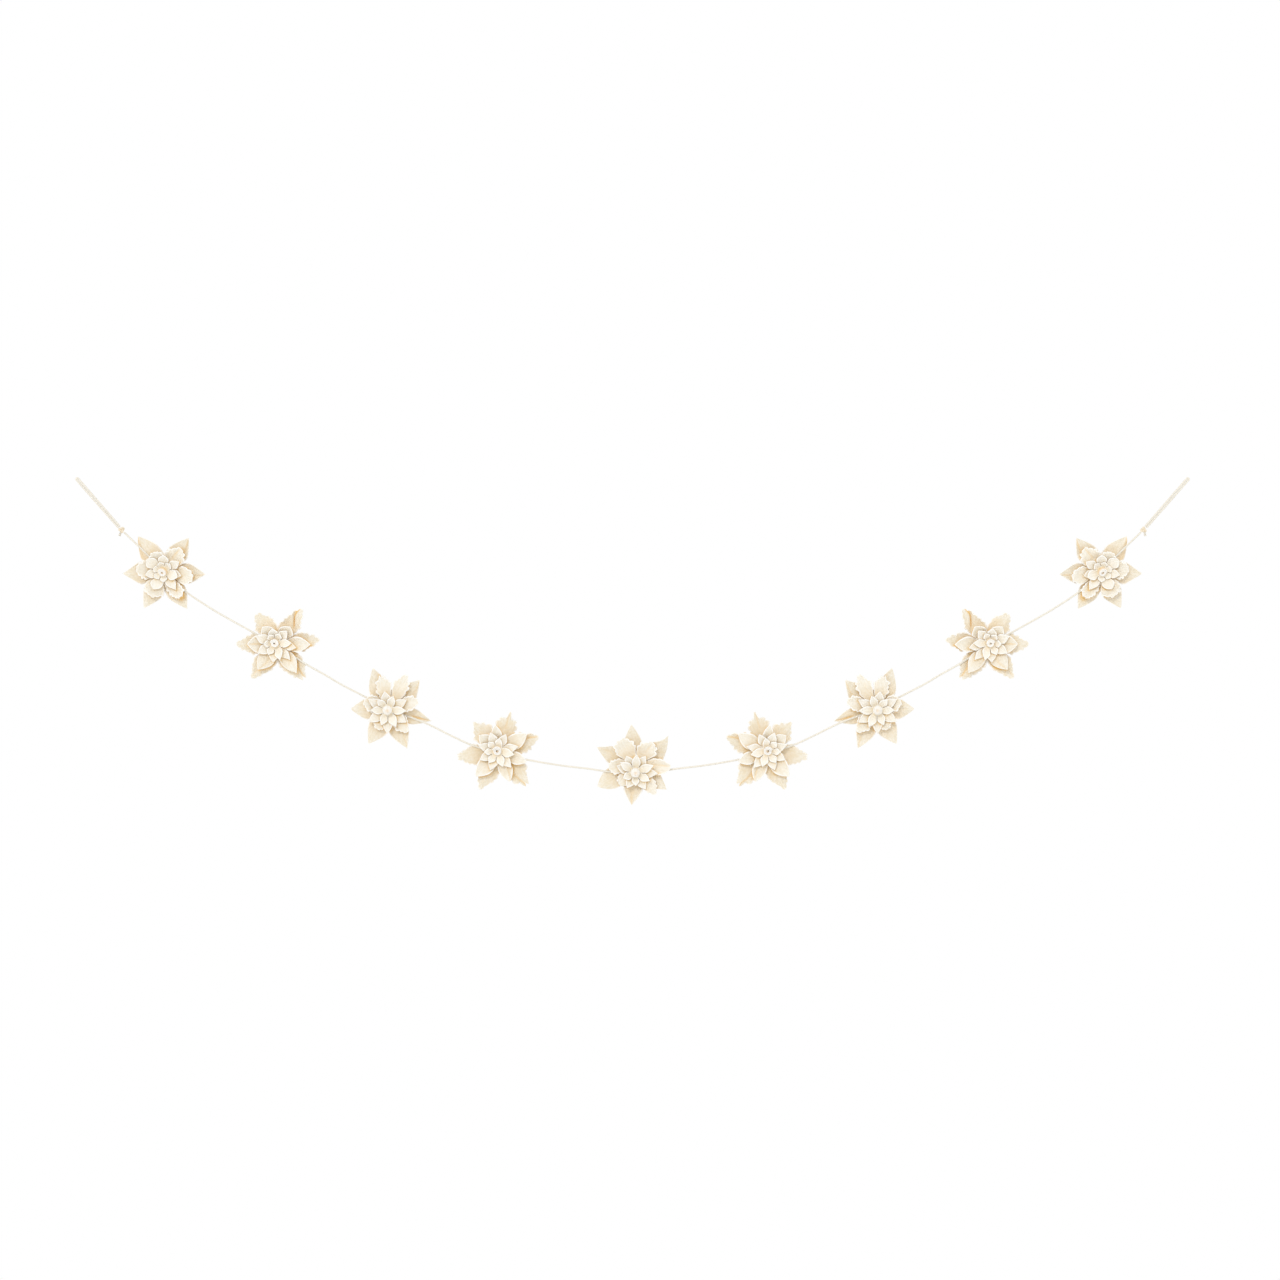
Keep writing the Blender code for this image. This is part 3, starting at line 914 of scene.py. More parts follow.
@dataclass
class Cords:
    """Everything twisted: the main cord and the loop at each of its ends.

    Attributes:
        span: the distance between the two loops' tips.
    """

    span: float

    def build(self) -> None:
        """Make the cords, with their knots and tails."""
        finish = CORD_FINISH.material()
        tied = SHADED_KNOT_FINISH.material()
        left = [Vector((x * MM, 0, z * MM)) for x, z in CORD_ROUTE]
        right = [Vector((self.span - point.x, 0, point.z)) for point in reversed(left)]
        ends = (
            HangLoop("left", Vector((0, 0, 0)), left[0].copy()),
            HangLoop("right", Vector((self.span, 0, 0)), right[-1].copy()),
        )
        for end in ends:
            loop = end.build(finish, tied)
            log.info("%s: %d triangles", loop.name, count_triangles(loop))
        clear = KNOT_RADIUS + GAP
        start = left[0] + (left[1] - left[0]).normalized() * clear
        end = right[-1] + (right[-2] - right[-1]).normalized() * clear
        middle = Vector((self.span / 2, 0, CORD_LOWEST * MM))
        line = smooth_route([start, *left[1:], middle, *right[:-1], end], Twist().step)
        cord = add_piece("garland_cord", TwistedCord(line).shape(), finish, "cotton_cord")
        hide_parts("main_cord")
        tuple(line[0])
        line_length(line)
        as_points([tuple(point) for point in line[::8]] + [tuple(line[-1])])
        log.info("%s: %.0f mm long, %d triangles", cord.name, line_length(line) / MM, count_triangles(cord))


# ---------------------------------------------------------------------------------------- flowers


class Layer(Enum):
    """The four stars of a flower, from the back one to the front one."""

    OUTER = "outer"
    MIDDLE = "middle"
    INNER = "inner"
    SMALL = "small"


class Centre(Enum):
    """What is glued in a flower's middle."""

    BALL = "ball"
    BUTTON = "button"


@dataclass(frozen=True)
class Petal:
    """One petal of a star; lengths in millimetres.

    Attributes:
        angle: its way from the star's centre, anticlockwise from +X, in degrees.
        reach: the star's centre to the petal's tip.
        width: its widest place.
        lift: its tip in front of the star's centre.
        fold: its edges in front of its midrib.
        tilt: its anticlockwise edge in front of the midrib, and the other as far behind.
        sway: its tip pulled anticlockwise off the midrib's line.
        taper: how full it stays towards its tip, where that isn't as in its layer's plan.
        crease: a soft ridge along it, or a trough where it is under 0.
        crease_at: where the crease lies across it: 1 is its anticlockwise edge, -1 the other.
        crease_width: half the crease's width, in the same measure.
        crease_turn: how far the crease moves across, in that measure, from notch to tip.
        curl: the last third of it bent further forwards, or back where it is under 0.
        back: the part anticlockwise of the crease folded back.
        teeth: teeth on each side, where they aren't as in its layer's plan.
        lobes: how deep its teeth are, against the plan's.
        fingers: how many its tip is cut into, where it is cut in.
        cut: how deep.
        hook: the end of its tip pulled further than its sway.
    """

    angle: float
    reach: float
    width: float
    lift: float
    fold: float
    tilt: float = 0.0
    sway: float = 0.0
    taper: float = 0.0
    crease: float = 0.0
    crease_at: float = 0.0
    crease_width: float = 0.16
    crease_turn: float = 0.0
    curl: float = 0.0
    back: float = 0.0
    teeth: int = 0
    lobes: float = 1.0
    fingers: int = 0
    cut: float = 0.0
    hook: float = 0.0


@dataclass(frozen=True)
class Flower:
    """One flower; lengths in millimetres.

    Attributes:
        shift_x: how far along the span its two front stars and its centre are off its middle.
        shift_z: how far above its middle they are.
        pinked: the layer that is cut with toothed edges.
        centre: what is in its middle.
        outer: the back star's petals.
        middle: the second star's.
        inner: the third star's.
        small: the front star's.
        nod: how far its centre piece leans forward and down, in degrees.
        dish: how far a rolled button's middle is sunk, as a part of its height.
        flare: how much wider its front end is than its back, in mm.
        is_turned: whether it is built in the mirror.
    """

    shift_x: float
    shift_z: float
    pinked: Layer
    centre: Centre
    outer: tuple[Petal, ...]
    middle: tuple[Petal, ...]
    inner: tuple[Petal, ...]
    small: tuple[Petal, ...]
    nod: float = 0.0
    dish: float = 0.15
    flare: float = -0.4
    is_turned: bool = False

    def turned(self) -> "Flower":
        """Return the same flower in the mirror."""
        return replace(self, shift_x=-self.shift_x, is_turned=True)


FLOWERS = (
    Flower(
        shift_x=0.0, shift_z=1.0, pinked=Layer.MIDDLE, centre=Centre.BUTTON,
        outer=(
            Petal(126, 62, 32, -3, -3, tilt=-4, crease=2.5, crease_at=0.22, back=4),
            Petal(54, 59, 30, 4, -2, tilt=2, crease=-2.2, crease_at=-0.45),
            Petal(-3, 58, 30, 2, 3, crease=-1.4, crease_at=-0.2, curl=2),
            Petal(-58, 60, 29, -1, -2, crease=1.2, crease_at=0.25),
            Petal(-119, 57, 28, 3, -2, crease=1.0, curl=-2),
            Petal(182, 57, 33, 1, 2, tilt=-1, taper=1.05, crease=1.6, crease_at=0.1),
        ),
        middle=(
            Petal(118, 30, 22, 8, 2),
            Petal(52, 41, 25, 7, 2, tilt=2, crease=-1.8, crease_at=0.2, lobes=1.4),
            Petal(-12, 42, 25, 6, 3, taper=2.4, curl=2),
            Petal(-55, 44, 18, 4, 3, taper=3, curl=3, lobes=1.3, fingers=3, cut=3.5),
            Petal(-118, 37, 28, 7, -2, taper=3, curl=3, lobes=1.2),
            Petal(173, 37, 23, 6, 3, taper=2.4, curl=2, lobes=1.3),
        ),
        inner=(
            Petal(146, 28, 18, 7, 2, taper=2.6),
            Petal(88, 22, 16, 10, 2, taper=2.2),
            Petal(30, 26, 15, 8, 2),
            Petal(-14, 26, 14, 7, 2),
            Petal(-55, 31, 15, 7, 2),
            Petal(-118, 28, 18, 7, 2, taper=3),
            Petal(192, 25, 14, 7, 2),
        ),
        small=(
            Petal(165, 14, 11, 4, 1, taper=2.4),
            Petal(110, 13, 12, 5, 1),
            Petal(45, 14, 12, 5, 1),
            Petal(-22, 22, 15, 8, 2, taper=2.6),
            Petal(-88, 15, 12, 4, 1),
            Petal(-142, 15, 12, 4, 1),
        ),
        nod=34, dish=0.25,
    ),
    Flower(
        shift_x=-3.0, shift_z=1.0, pinked=Layer.OUTER, centre=Centre.BUTTON,
        outer=(
            Petal(125, 52, 27, -2, -2, crease=1.5, crease_at=0.3, fingers=2, cut=2),
            Petal(55, 60, 24, 4, 4, crease=-4, crease_at=-0.77, crease_width=0.17, crease_turn=1.9),
            Petal(6, 59, 25, 3, 3, tilt=2, crease=1.2, crease_at=-0.3),
            Petal(-53, 62, 30, -3, -3, tilt=2, crease=-3, crease_at=0.2, lobes=1.3, fingers=2, cut=5),
            Petal(-127, 60, 28, 2, -2, crease=-1.2, crease_at=-0.2, curl=2, lobes=0.7),
            Petal(180, 58, 27, 2, -1),
        ),
        middle=(
            Petal(130, 31, 20, 8, 2),
            Petal(52, 30, 22, 8, 2),
            Petal(-1, 46, 22, 7, 4, tilt=3),
            Petal(-56, 48, 22, 6, -2, tilt=2),
            Petal(-127, 44, 24, 7, -3, crease=-1.5, crease_at=0.25, curl=3),
            Petal(180, 41, 26, 8, 4, crease=-2),
        ),
        inner=(
            Petal(160, 28, 15, 8, 2),
            Petal(100, 20, 15, 10, 2),
            Petal(45, 24, 15, 9, 2),
            Petal(-12, 30, 15, 7, 2),
            Petal(-47, 31, 14, 6, 2, tilt=2, taper=1.2),
            Petal(-95, 26, 15, 7, 2),
            Petal(-150, 27, 15, 8, 2),
        ),
        small=(
            Petal(0, 23, 12, 6, 2, taper=1.7),
            Petal(62, 15, 11, 6, 2),
            Petal(125, 14, 11, 6, 2),
            Petal(185, 15, 11, 6, 2),
            Petal(-120, 18, 11, 6, 2),
            Petal(-65, 24, 13, 6, 2, sway=-3),
        ),
        nod=8, dish=0.06,
    ),
    Flower(
        shift_x=-2.0, shift_z=-1.5, pinked=Layer.MIDDLE, centre=Centre.BALL,
        outer=(
            Petal(123, 60, 27, 2, -1, tilt=-2, sway=-12, taper=1.8, crease=1.0, curl=2),
            Petal(37, 58, 30, 4, 1, tilt=2, sway=7, crease=-1.5, crease_at=-0.4),
            Petal(-19, 60, 23, -2, -4, sway=3, crease=-3.4, crease_width=0.2),
            Petal(-66, 60, 28, 1, 3, crease=-1.2, crease_at=0.3),
            Petal(-121, 57, 29, 2, -2),
            Petal(180, 54, 30, -3, -2, crease=1.6, crease_at=0.1),
        ),
        middle=(
            Petal(103, 50, 19, 6, -1, taper=2.4, lobes=2.0, fingers=3, cut=7),
            Petal(63, 55, 20, 5, 1, lobes=1.8, fingers=2, cut=3),
            Petal(16, 42, 19, 7, 3, taper=2.6),
            Petal(-51, 41, 20, 5, 2),
            Petal(-122, 32, 22, 6, 1),
            Petal(162, 36, 22, 8, 3, taper=2.4),
        ),
        inner=(
            Petal(150, 31, 14, 8, 2),
            Petal(98, 26, 14, 9, 2),
            Petal(28, 30, 14, 8, 2),
            Petal(-33, 31, 15, 7, 2),
            Petal(-90, 33, 15, 6, 2),
            Petal(211, 31, 15, 7, 2),
        ),
        small=(
            Petal(180, 23, 12, 8, 2),
            Petal(132, 20, 11, 9, 2),
            Petal(66, 21, 12, 9, 2),
            Petal(-2, 26, 12, 10, 2),
            Petal(-62, 26, 13, 10, 2),
            Petal(-112, 22, 12, 8, 2),
        ),
    ),
    Flower(
        shift_x=-2.5, shift_z=1.5, pinked=Layer.OUTER, centre=Centre.BUTTON,
        outer=(
            Petal(131, 55, 28, 1, -2, crease=1.6, crease_at=0.2, teeth=4, lobes=1.4, fingers=1, cut=5),
            Petal(74, 58, 27, 3, -2, crease=-1.5, crease_at=0.1, teeth=4, lobes=2.6, fingers=1, cut=9),
            Petal(21, 59, 26, 4, -2, tilt=2, crease=-2.8, crease_at=0.35, lobes=1.4),
            Petal(-50, 61, 28, -2, -1, crease=-2.4, crease_at=-0.35, teeth=4, lobes=1.9, fingers=2, cut=4),
            Petal(-118, 59, 28, 2, -2, crease=1.2, curl=2, lobes=0.6),
            Petal(187, 60, 28, 2, -2, lobes=0.8, fingers=3, cut=3),
        ),
        middle=(
            Petal(140, 36, 20, 9, 2),
            Petal(98, 38, 15, 11, 2),
            Petal(33, 46, 22, 6, 3),
            Petal(-20, 41, 18, 6, 3),
            Petal(-70, 44, 20, 4, 3, crease=-2, crease_at=0.35),
            Petal(226, 47, 24, 7, 4),
        ),
        inner=(
            Petal(162, 28, 13, 8, 2, taper=1.2),
            Petal(110, 27, 14, 9, 2),
            Petal(62, 26, 13, 9, 2),
            Petal(12, 30, 14, 7, 2, taper=1.2),
            Petal(-50, 30, 14, 7, 2),
            Petal(-110, 28, 14, 7, 2),
            Petal(207, 27, 14, 7, 2),
        ),
        small=(
            Petal(185, 18, 11, 6, 2),
            Petal(135, 17, 11, 7, 2),
            Petal(80, 18, 11, 7, 2),
            Petal(-12, 24, 13, 6, 2),
            Petal(-70, 23, 12, 6, 2),
            Petal(-125, 20, 12, 6, 2),
        ),
        nod=3, dish=0.26, flare=0.2,
    ),
    Flower(
        shift_x=0.3, shift_z=-9.0, pinked=Layer.MIDDLE, centre=Centre.BALL,
        outer=(
            Petal(95, 58, 25, 3, -2, taper=1.4),
            Petal(30, 61, 31, 4, -2, tilt=3, sway=8, crease=1.2, crease_at=0.2, curl=3, hook=5),
            Petal(-37, 55, 25, 1, -2, tilt=-2, crease=1.4, crease_at=0.2),
            Petal(-95, 55, 27, 3, 5, crease=-1.6, crease_at=-0.1, crease_width=0.3),
            Petal(209, 60, 31, -1, -2, taper=2, crease=1.0, crease_at=0.3),
            Petal(154, 59, 27, 3, -2, crease=-1.0, crease_at=-0.2, curl=3),
        ),
        middle=(
            Petal(120, 42, 26, 6, 2, taper=3, curl=2, lobes=1.6),
            Petal(52, 41, 25, 8, 2, crease=-1.2, lobes=1.6),
            Petal(-2, 50, 22, 5, 2, taper=2.6, crease=-1.4, crease_at=0.2, lobes=0.5),
            Petal(-54, 49, 20, 2, 0, crease=1.0, curl=-2),
            Petal(232, 34, 20, 1, 0),
            Petal(182, 37, 20, 6, 2, taper=2.2),
        ),
        inner=(
            Petal(160, 27, 15, 9, 2),
            Petal(118, 26, 14, 10, 2),
            Petal(58, 27, 14, 10, 2),
            Petal(-2, 31, 14, 7, 2),
            Petal(-58, 27, 14, 6, 2),
            Petal(-118, 24, 13, 6, 2),
        ),
        small=(
            Petal(85, 25, 13, 12, 2),
            Petal(22, 27, 13, 11, 2),
            Petal(-30, 23, 12, 8, 2),
            Petal(-88, 18, 11, 7, 2),
            Petal(205, 18, 12, 8, 2),
            Petal(145, 25, 13, 11, 2),
        ),
    ),
)


@dataclass(frozen=True)
class LayerPlan:
    """How the stars of one layer are cut, and where they lie in the stack.

    Attributes:
        notch: where neighbouring petals part, from the star's centre.
        sheets: sheets of felt in front of the cord, this one included, and 0 behind the cord.
        rows: the rows of a smooth petal, as parts of its length from its notch to its tip.
        widest: where on that length a petal is widest.
        taper: how full it stays from there to the tip.
        spring: under 1 where a petal bends near its root, over 1 where it bends near its tip.
        teeth: teeth on each side of a pinked petal.
        tooth: how deep the teeth are.
        tip: half the width of the cut tip.
        hem: the narrow strip along the cut edge.
        ripple: how far the cut edge waves.
        slot: the record's material slot.
    """

    notch: float
    sheets: int
    rows: tuple[float, ...]
    widest: float
    taper: float
    spring: float
    teeth: int
    tooth: float
    tip: float
    hem: float
    ripple: float
    slot: str

    def level(self) -> float:
        """Return how far in front of the cord's axis the middle of the felt lies."""
        first = CORD_WIDTH / 2 + GAP + FELT / 2
        return first + (self.sheets - 1) * (FELT + GAP) if self.sheets else -first


# The rows of a smooth petal in the two back layers, and in the two front ones.
LARGE_ROWS = (0, 0.09, 0.18, 0.28, 0.38, 0.48, 0.58, 0.68, 0.77, 0.85, 0.92, 0.97, 1)
SMALL_ROWS = (0, 0.14, 0.28, 0.42, 0.55, 0.68, 0.80, 0.90, 0.96, 1)

PLANS = {
    Layer.OUTER: LayerPlan(
        26 * MM, 0, LARGE_ROWS, 0.30, 1.3, 1.4, 5, 2.0 * MM, 0.7 * MM, 1.1 * MM, 0.9 * MM, "outer_felt",
    ),
    Layer.MIDDLE: LayerPlan(
        17 * MM, 1, LARGE_ROWS, 0.38, 1.8, 1.0, 5, 1.5 * MM, 0.7 * MM, 1.1 * MM, 0.7 * MM, "middle_felt",
    ),
    Layer.INNER: LayerPlan(
        9.5 * MM, 2, SMALL_ROWS, 0.42, 1.45, 1.0, 0, 0.0, 0.5 * MM, 1.0 * MM, 0.3 * MM, "inner_felt",
    ),
    Layer.SMALL: LayerPlan(
        7.5 * MM, 3, SMALL_ROWS, 0.40, 1.4, 1.0, 0, 0.0, 0.5 * MM, 0.9 * MM, 0.2 * MM, "small_felt",
    ),
}

# The layers that the centre piece lies square on.
FRONT = (Layer.INNER, Layer.SMALL)

# The felt's colour is painted warmer and darker where little light gets to it: painted shade. Under the
# stars in front that painted shade falls a little to one side and starts to fade just inside their outlines.
# For the next star in front, the one after it and the last: how far the painted shade reaches outside, and
# how deep it is.
CAST = Vector((-0.5 * MM, 1.0 * MM))
INSIDE = 0.6 * MM
SHADES = ((4.0 * MM, 1.0), (3.2 * MM, 0.95), (2.6 * MM, 0.85))

# How much painted shade, warmer and darker, the felt gets around every star in front, and how far out.
AROUND_SHARE = 0.34
AROUND = 7.0 * MM

# The ring of painted shade round the centre piece: how deep, how far under its edge, and how wide.
RING_SHARE = 0.5
RING_INSIDE = 0.3 * MM
RING = 2.8 * MM

# The painted shade comes and goes in patches: how many to the metre, its usual share, and how much more or
# less of it there is.
PATCHES = 70.0
PATCH_SHARE = 0.72
PATCH_SWING = 0.6

# The painted shade on the hub of a star, and on a petal at its notch, fading out over this part of its
# length.
HUB_SHARE = 0.7
ROOT_SHARE = 0.25
ROOT_LENGTH = 0.8

# The depth in millimetres from which a trough gets its full painted shade, and how much painted shade the
# part of a petal gets that is folded back.
DEEP_TROUGH = 4
FOLDED_SHARE = 0.4

# How much of its pale look, which is partly a painted highlight, a cut edge loses in full painted shade, and
# how much of it the hem beside it and the rows before the tip have.
EDGE_LOSS = 0.7
HEM_SHARE = 0.75
TIP_SHARE = 0.5

# Parts of a petal's length: the one over which its fold and its tilt grow, the one over which its
# crease grows, and the last part, which curls and is cut into fingers.
FOLD_LENGTH = 0.5
CREASE_LENGTH = 0.3
TIP_START = 0.55
TIP_LENGTH = 0.45

# The part of a petal's half width that follows its teeth: where it starts, and how wide it is.
RIM_START = 0.55
RIM_WIDTH = 0.45

# The steps that the length of a petal's edge is measured in.
EDGE_STEPS = 120

# How steeply a petal's one long finger stands out of its end: the more, the blunter the finger.
BLUNT = 2.5

# How much wider a toothed petal's cut tip is than a smooth one's.
PINKED_TIP = 2.2

# Half the width of a tip that is cut into fingers, as a part of the petal's: with one, with more.
ONE_FINGER = 0.27
MORE_FINGERS = 0.34


@dataclass(frozen=True)
class ToothCut:
    """How a toothed edge is cut.

    Attributes:
        swell: from the cut between two teeth to a tooth's top, in depths of a tooth.
        inside: how much of that lies inside the petal's plain outline.
        skew: under 1 where teeth are fullest before their middles.
        bluntness: the less, the blunter the teeth.
        wander: how far the teeth stray along the edge, in teeth.
        unevenness: how much a tooth's depth differs from the next one's.
        growth: the teeth's depth at the notch and at the tip, against the plan's.
        proud: how far a tooth may stand out past half a millimetre, as a part of half the width
            that the petal has there.
        deep: how far a cut may go in, in the same measure.
    """

    swell: float = 1.7
    inside: float = 0.7
    skew: float = 0.85
    bluntness: float = 0.55
    wander: float = 0.12
    unevenness: float = 0.45
    growth: tuple[float, float] = (0.8, 1.3)
    proud: float = 0.38
    deep: float = 0.5


TEETH = ToothCut()


@dataclass
class FeltStar:
    """One star cut from sheet felt and bent into petals.

    Attributes:
        name: the piece's name.
        petals: its petals.
        plan: how its layer is cut.
        centre: its centre in the garland's frame, on the felt's middle plane.
        is_pinked: whether its edges are toothed.
        is_turned: whether it is built in the mirror.
        above: the stars in front of it, the next one first.
        seat_radius: the radius of what is glued on its centre.
        side_view: the widest angle from a petal's midrib at which a place can be on the petal.
        bridge: where a petal starts, as a part of the way from the star's centre to its notch.
        space: the least gap between neighbouring petals, halved.
        hub_rows: the rows between the star's centre and its notches.
        tooth_rows: the rows across one tooth.
        lean: how far a tooth points to the petal's tip, as a part of its depth.
        unevenness: how far the felt lies off its plain shape.
        bumps: how many bumps to the metre it does so in.
    """

    name: str
    petals: tuple[Petal, ...]
    plan: LayerPlan
    centre: Vector
    is_pinked: bool
    is_turned: bool
    above: Sequence["FeltStar"] = ()
    seat_radius: float = 0.0
    side_view: float = 1.2
    bridge: float = 0.85
    space: float = 0.5 * MM
    hub_rows: int = 3
    tooth_rows: int = 6
    lean: float = 0.3
    unevenness: float = 0.45 * MM
    bumps: float = 85.0

    def build(self, finish: bpy.types.Material, node: str, rests_on: str) -> bpy.types.Object:
        """Args:
            finish: its material.
            node: the CAD node that it stands for.
            rests_on: the piece that it lies on; not used.

        Returns:
            The finished star.
        """
        shape = self.sheet()
        area = sum(face.calc_area() for face in shape.faces)
        flat = self.flat_size()
        star = add_piece(self.name, shape, finish, self.plan.slot)
        make_felt(star, FELT)
        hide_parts(node)
        log.info("%s: %.0f x %.0f mm flat, %d triangles", star.name, *(side / MM for side in flat),
                 count_triangles(star))
        return star

    def flat_size(self) -> tuple[float, float]:
        """Measure the felt that the star is cut from.

        Returns:
            The felt's width and length.
        """
        tips = []
        for petal in self.petals:
            reach = math.hypot(petal.reach, petal.lift + petal.curl) * MM
            angle = math.radians(petal.angle)
            tips.append((reach * math.cos(angle), reach * math.sin(angle)))
        spans = [max(places) - min(places) for places in zip(*tips)]
        return spans[0] + 2 * self.plan.tooth, spans[1] + 2 * self.plan.tooth

    def sheet(self) -> bmesh.types.BMesh:
        """Bend a grid for each petal and join them at the centre.

        Returns:
            The star's middle surface.
        """
        shape = felt_mesh()
        ordered = sorted(self.petals, key=lambda petal: petal.angle % 360)
        for number, petal in enumerate(ordered):
            following = ordered[(number + 1) % len(ordered)]
            gaps = {
                1: math.radians((following.angle - petal.angle) % 360) / 2,
                -1: math.radians((petal.angle - ordered[number - 1].angle) % 360) / 2,
            }
            self.add_petal(shape, petal, gaps)
        bmesh.ops.remove_doubles(shape, verts=shape.verts, dist=0.01 * MM)
        bmesh.ops.recalc_face_normals(shape, faces=shape.faces)
        return shape

    def columns(self, petal: Petal) -> list[float]:
        """Share out the places across a petal, closer at a crease.

        Args:
            petal: the petal.

        Returns:
            The places, from -1 at its clockwise edge to 1 at the other.
        """
        hem = 1 - self.plan.hem / (petal.width * MM / 2)
        half = [0.24, 0.48, 0.70, hem - 0.07, hem, 1.0]
        places = [-place for place in reversed(half)] + [0.0] + half
        if petal.crease_turn:
            eighths = [step / 8 for step in range(-7, 8)]
            places = [-1.0, -hem, *(place for place in eighths if abs(place) < hem - 0.03), hem, 1.0]
        elif petal.crease:
            near = [petal.crease_at + step * petal.crease_width for step in (-1.4, -0.5, 0.5, 1.4)]
            apart = 0.6 * petal.crease_width
            clear = [place for place in places if all(abs(place - other) > apart for other in near)]
            places = sorted(clear + near)
        return places

    def rows(self, petal: Petal, gap: float) -> list[tuple[float, float]]:
        """Return a petal's rows from notch to tip: part of the free length, and part of the cut edge.

        Args:
            petal: the petal.
            gap: the angle from its midrib to its notches.

        Returns:
            The rows. Those of a toothed petal are evenly spaced along its edge.
        """
        if not self.is_pinked:
            return [(row, row) for row in self.plan.rows]
        start = self.plan.notch * math.cos(gap)
        notch_half_width = self.plan.notch * math.sin(gap)
        free = petal.reach * MM - start
        line = []
        for step in range(EDGE_STEPS + 1):
            part = step / EDGE_STEPS
            line.append(Vector((start + free * part, self.half_width(petal, part, notch_half_width))))
        count = (petal.teeth or self.plan.teeth) * self.tooth_rows
        rows = []
        for number, (before, part) in enumerate(even_places(line, count)[:-1]):
            rows.append(((before + part) / EDGE_STEPS, number / count))
        return [*rows, (1.0, 1.0)]

    def add_petal(self, shape: bmesh.types.BMesh, petal: Petal, gaps: dict[int, float]) -> None:
        """Add a petal to the star's middle surface.

        Args:
            shape: the star's mesh.
            petal: the petal.
            gaps: the angle from its midrib to the notch on its side 1 and on its side -1.
        """
        cut_edge_and_highlight = shape.verts.layers.float["cut_edge_and_highlight"]
        root = shape.verts.layers.float["root"]
        columns = self.columns(petal)
        places = self.rows(petal, (gaps[1] + gaps[-1]) / 2)
        last_row = len(places) + self.hub_rows - 1
        last_column = len(columns) - 1
        grid = bmesh.ops.create_grid(shape, x_segments=last_row, y_segments=last_column, size=0.5)
        lay = shape.loops.layers.uv["lay"]
        flats = {}
        for vertex in grid["verts"]:
            row = round((vertex.co.x + 0.5) * last_row)
            across = columns[round((vertex.co.y + 0.5) * last_column)]
            gap = gaps[1 if across >= 0 else -1]
            if row < self.hub_rows:
                flat = self.hub_place(petal, row / self.hub_rows, across, gap)
                height = 0.0
                # The root mark is painted shade; the hub gets it everywhere.
                vertex[root] = HUB_SHARE
            else:
                along, edge_part = places[row - self.hub_rows]
                depth = self.tooth(petal, along, edge_part, 1 if across >= 0 else -1)
                flat, across_width = self.petal_place(petal, along, across, gap, depth)
                height = self.rise(petal, along, across_width)
                # Painted shade under and around the stars in front, in folds and near the notch; the cut
                # edge's pale colour, partly a painted highlight, fades in that shade.
                shaded = self.covered(flat)
                root_painted_shade = ROOT_SHARE * (1 - ease(along / ROOT_LENGTH))
                vertex[root] = max(shaded, self.shade(petal, along, across), root_painted_shade)
                vertex[cut_edge_and_highlight] = self.edge_share(petal, along, across) * (1 - EDGE_LOSS * shaded)
            flats[vertex] = flat
            vertex.co = self.in_frame(flat, height)
        turn = Matrix.Rotation(math.radians(90 - petal.angle), 2)
        for vertex, flat in flats.items():
            place = turn @ flat
            for loop in vertex.link_loops:
                loop[lay].uv = (place.x + petal.angle * 0.01, place.y)

    def hub_place(self, petal: Petal, part: float, across: float, gap: float) -> Vector:
        """Return a place between the star's centre and its notches, part of the way out."""
        angle = math.radians(petal.angle) + across * gap
        return Vector((math.cos(angle), math.sin(angle))) * self.plan.notch * part

    def covered(self, flat: Vector) -> float:
        """Tell how much painted shade a place gets from the stars in front of it and from the centre piece.

        Args:
            flat: the place from the star's centre.

        Returns:
            1 where it is covered, fading to 0 a little outside.
        """
        share = 0.0
        for star, (reach, depth) in zip(self.above, SHADES):
            apart = self.centre - star.centre
            away = star.outside(flat + Vector((-apart.x if self.is_turned else apart.x, apart.z)) + CAST)
            shaded = depth * (1 - ease((away + INSIDE) / reach))
            share = max(share, shaded, AROUND_SHARE * (1 - ease(away / AROUND)))
        patches = noise.noise(Vector((flat.x, self.centre.x, flat.y)) * PATCHES)
        share *= min(PATCH_SHARE + PATCH_SWING * patches, 1.0)
        beside = flat.length - self.seat_radius
        return max(share, RING_SHARE * (1 - ease((beside + RING_INSIDE) / RING)))

    def outside(self, flat: Vector) -> float:
        """Measure how far a place lies outside the star's outline.

        Args:
            flat: the place from the star's centre.

        Returns:
            The distance, under 0 where it is inside.
        """
        length = flat.length
        if length <= self.plan.notch:
            return length - self.plan.notch
        least = length
        angle = math.atan2(flat.y, flat.x)
        for petal in self.petals:
            turn = math.remainder(angle - math.radians(petal.angle), math.tau)
            if abs(turn) > self.side_view:
                continue
            start = self.plan.notch * self.bridge
            ahead = length * math.cos(turn)
            along = min(max((ahead - start) / (petal.reach * MM - start), 0.0), 1.0)
            sideways = abs(length * math.sin(turn) - self.sway(petal, along))
            beside = sideways - self.half_width(petal, along, start * 0.5)
            beyond = ahead - petal.reach * MM
            least = min(least, max(beside, beyond))
        return least

    def tooth(self, petal: Petal, along: float, edge_part: float, side: int) -> float:
        """Return how far the toothed edge stands out of the petal's plain outline.

        Args:
            petal: the petal.
            along: 0 at the notch and 1 at the tip.
            edge_part: the same, but measured along the edge.
            side: 1 for the anticlockwise edge and -1 for the other.

        Returns:
            The distance, under 0 between two teeth.
        """
        if not self.is_pinked:
            return 0.0
        key = petal.angle * 0.37
        place = edge_part * (petal.teeth or self.plan.teeth)
        number, part = divmod(place + TEETH.wander * math.sin(key + 2.4 * place * side), 1)
        scallop = TEETH.swell * math.sin(math.pi * part ** TEETH.skew) ** TEETH.bluntness - TEETH.inside
        uneven = 1 + TEETH.unevenness * math.sin(key * 3.1 + number * 2.3 + side)
        half = petal.width * MM / 2 * self.narrowing(petal, along)
        depth = self.plan.tooth * petal.lobes * uneven * mix(*TEETH.growth, along) * scallop
        fade = ease(edge_part / 0.12) * ease((1.04 - edge_part) / 0.10)
        return max(min(depth, TEETH.proud * half + 0.5 * MM), -TEETH.deep * half) * fade

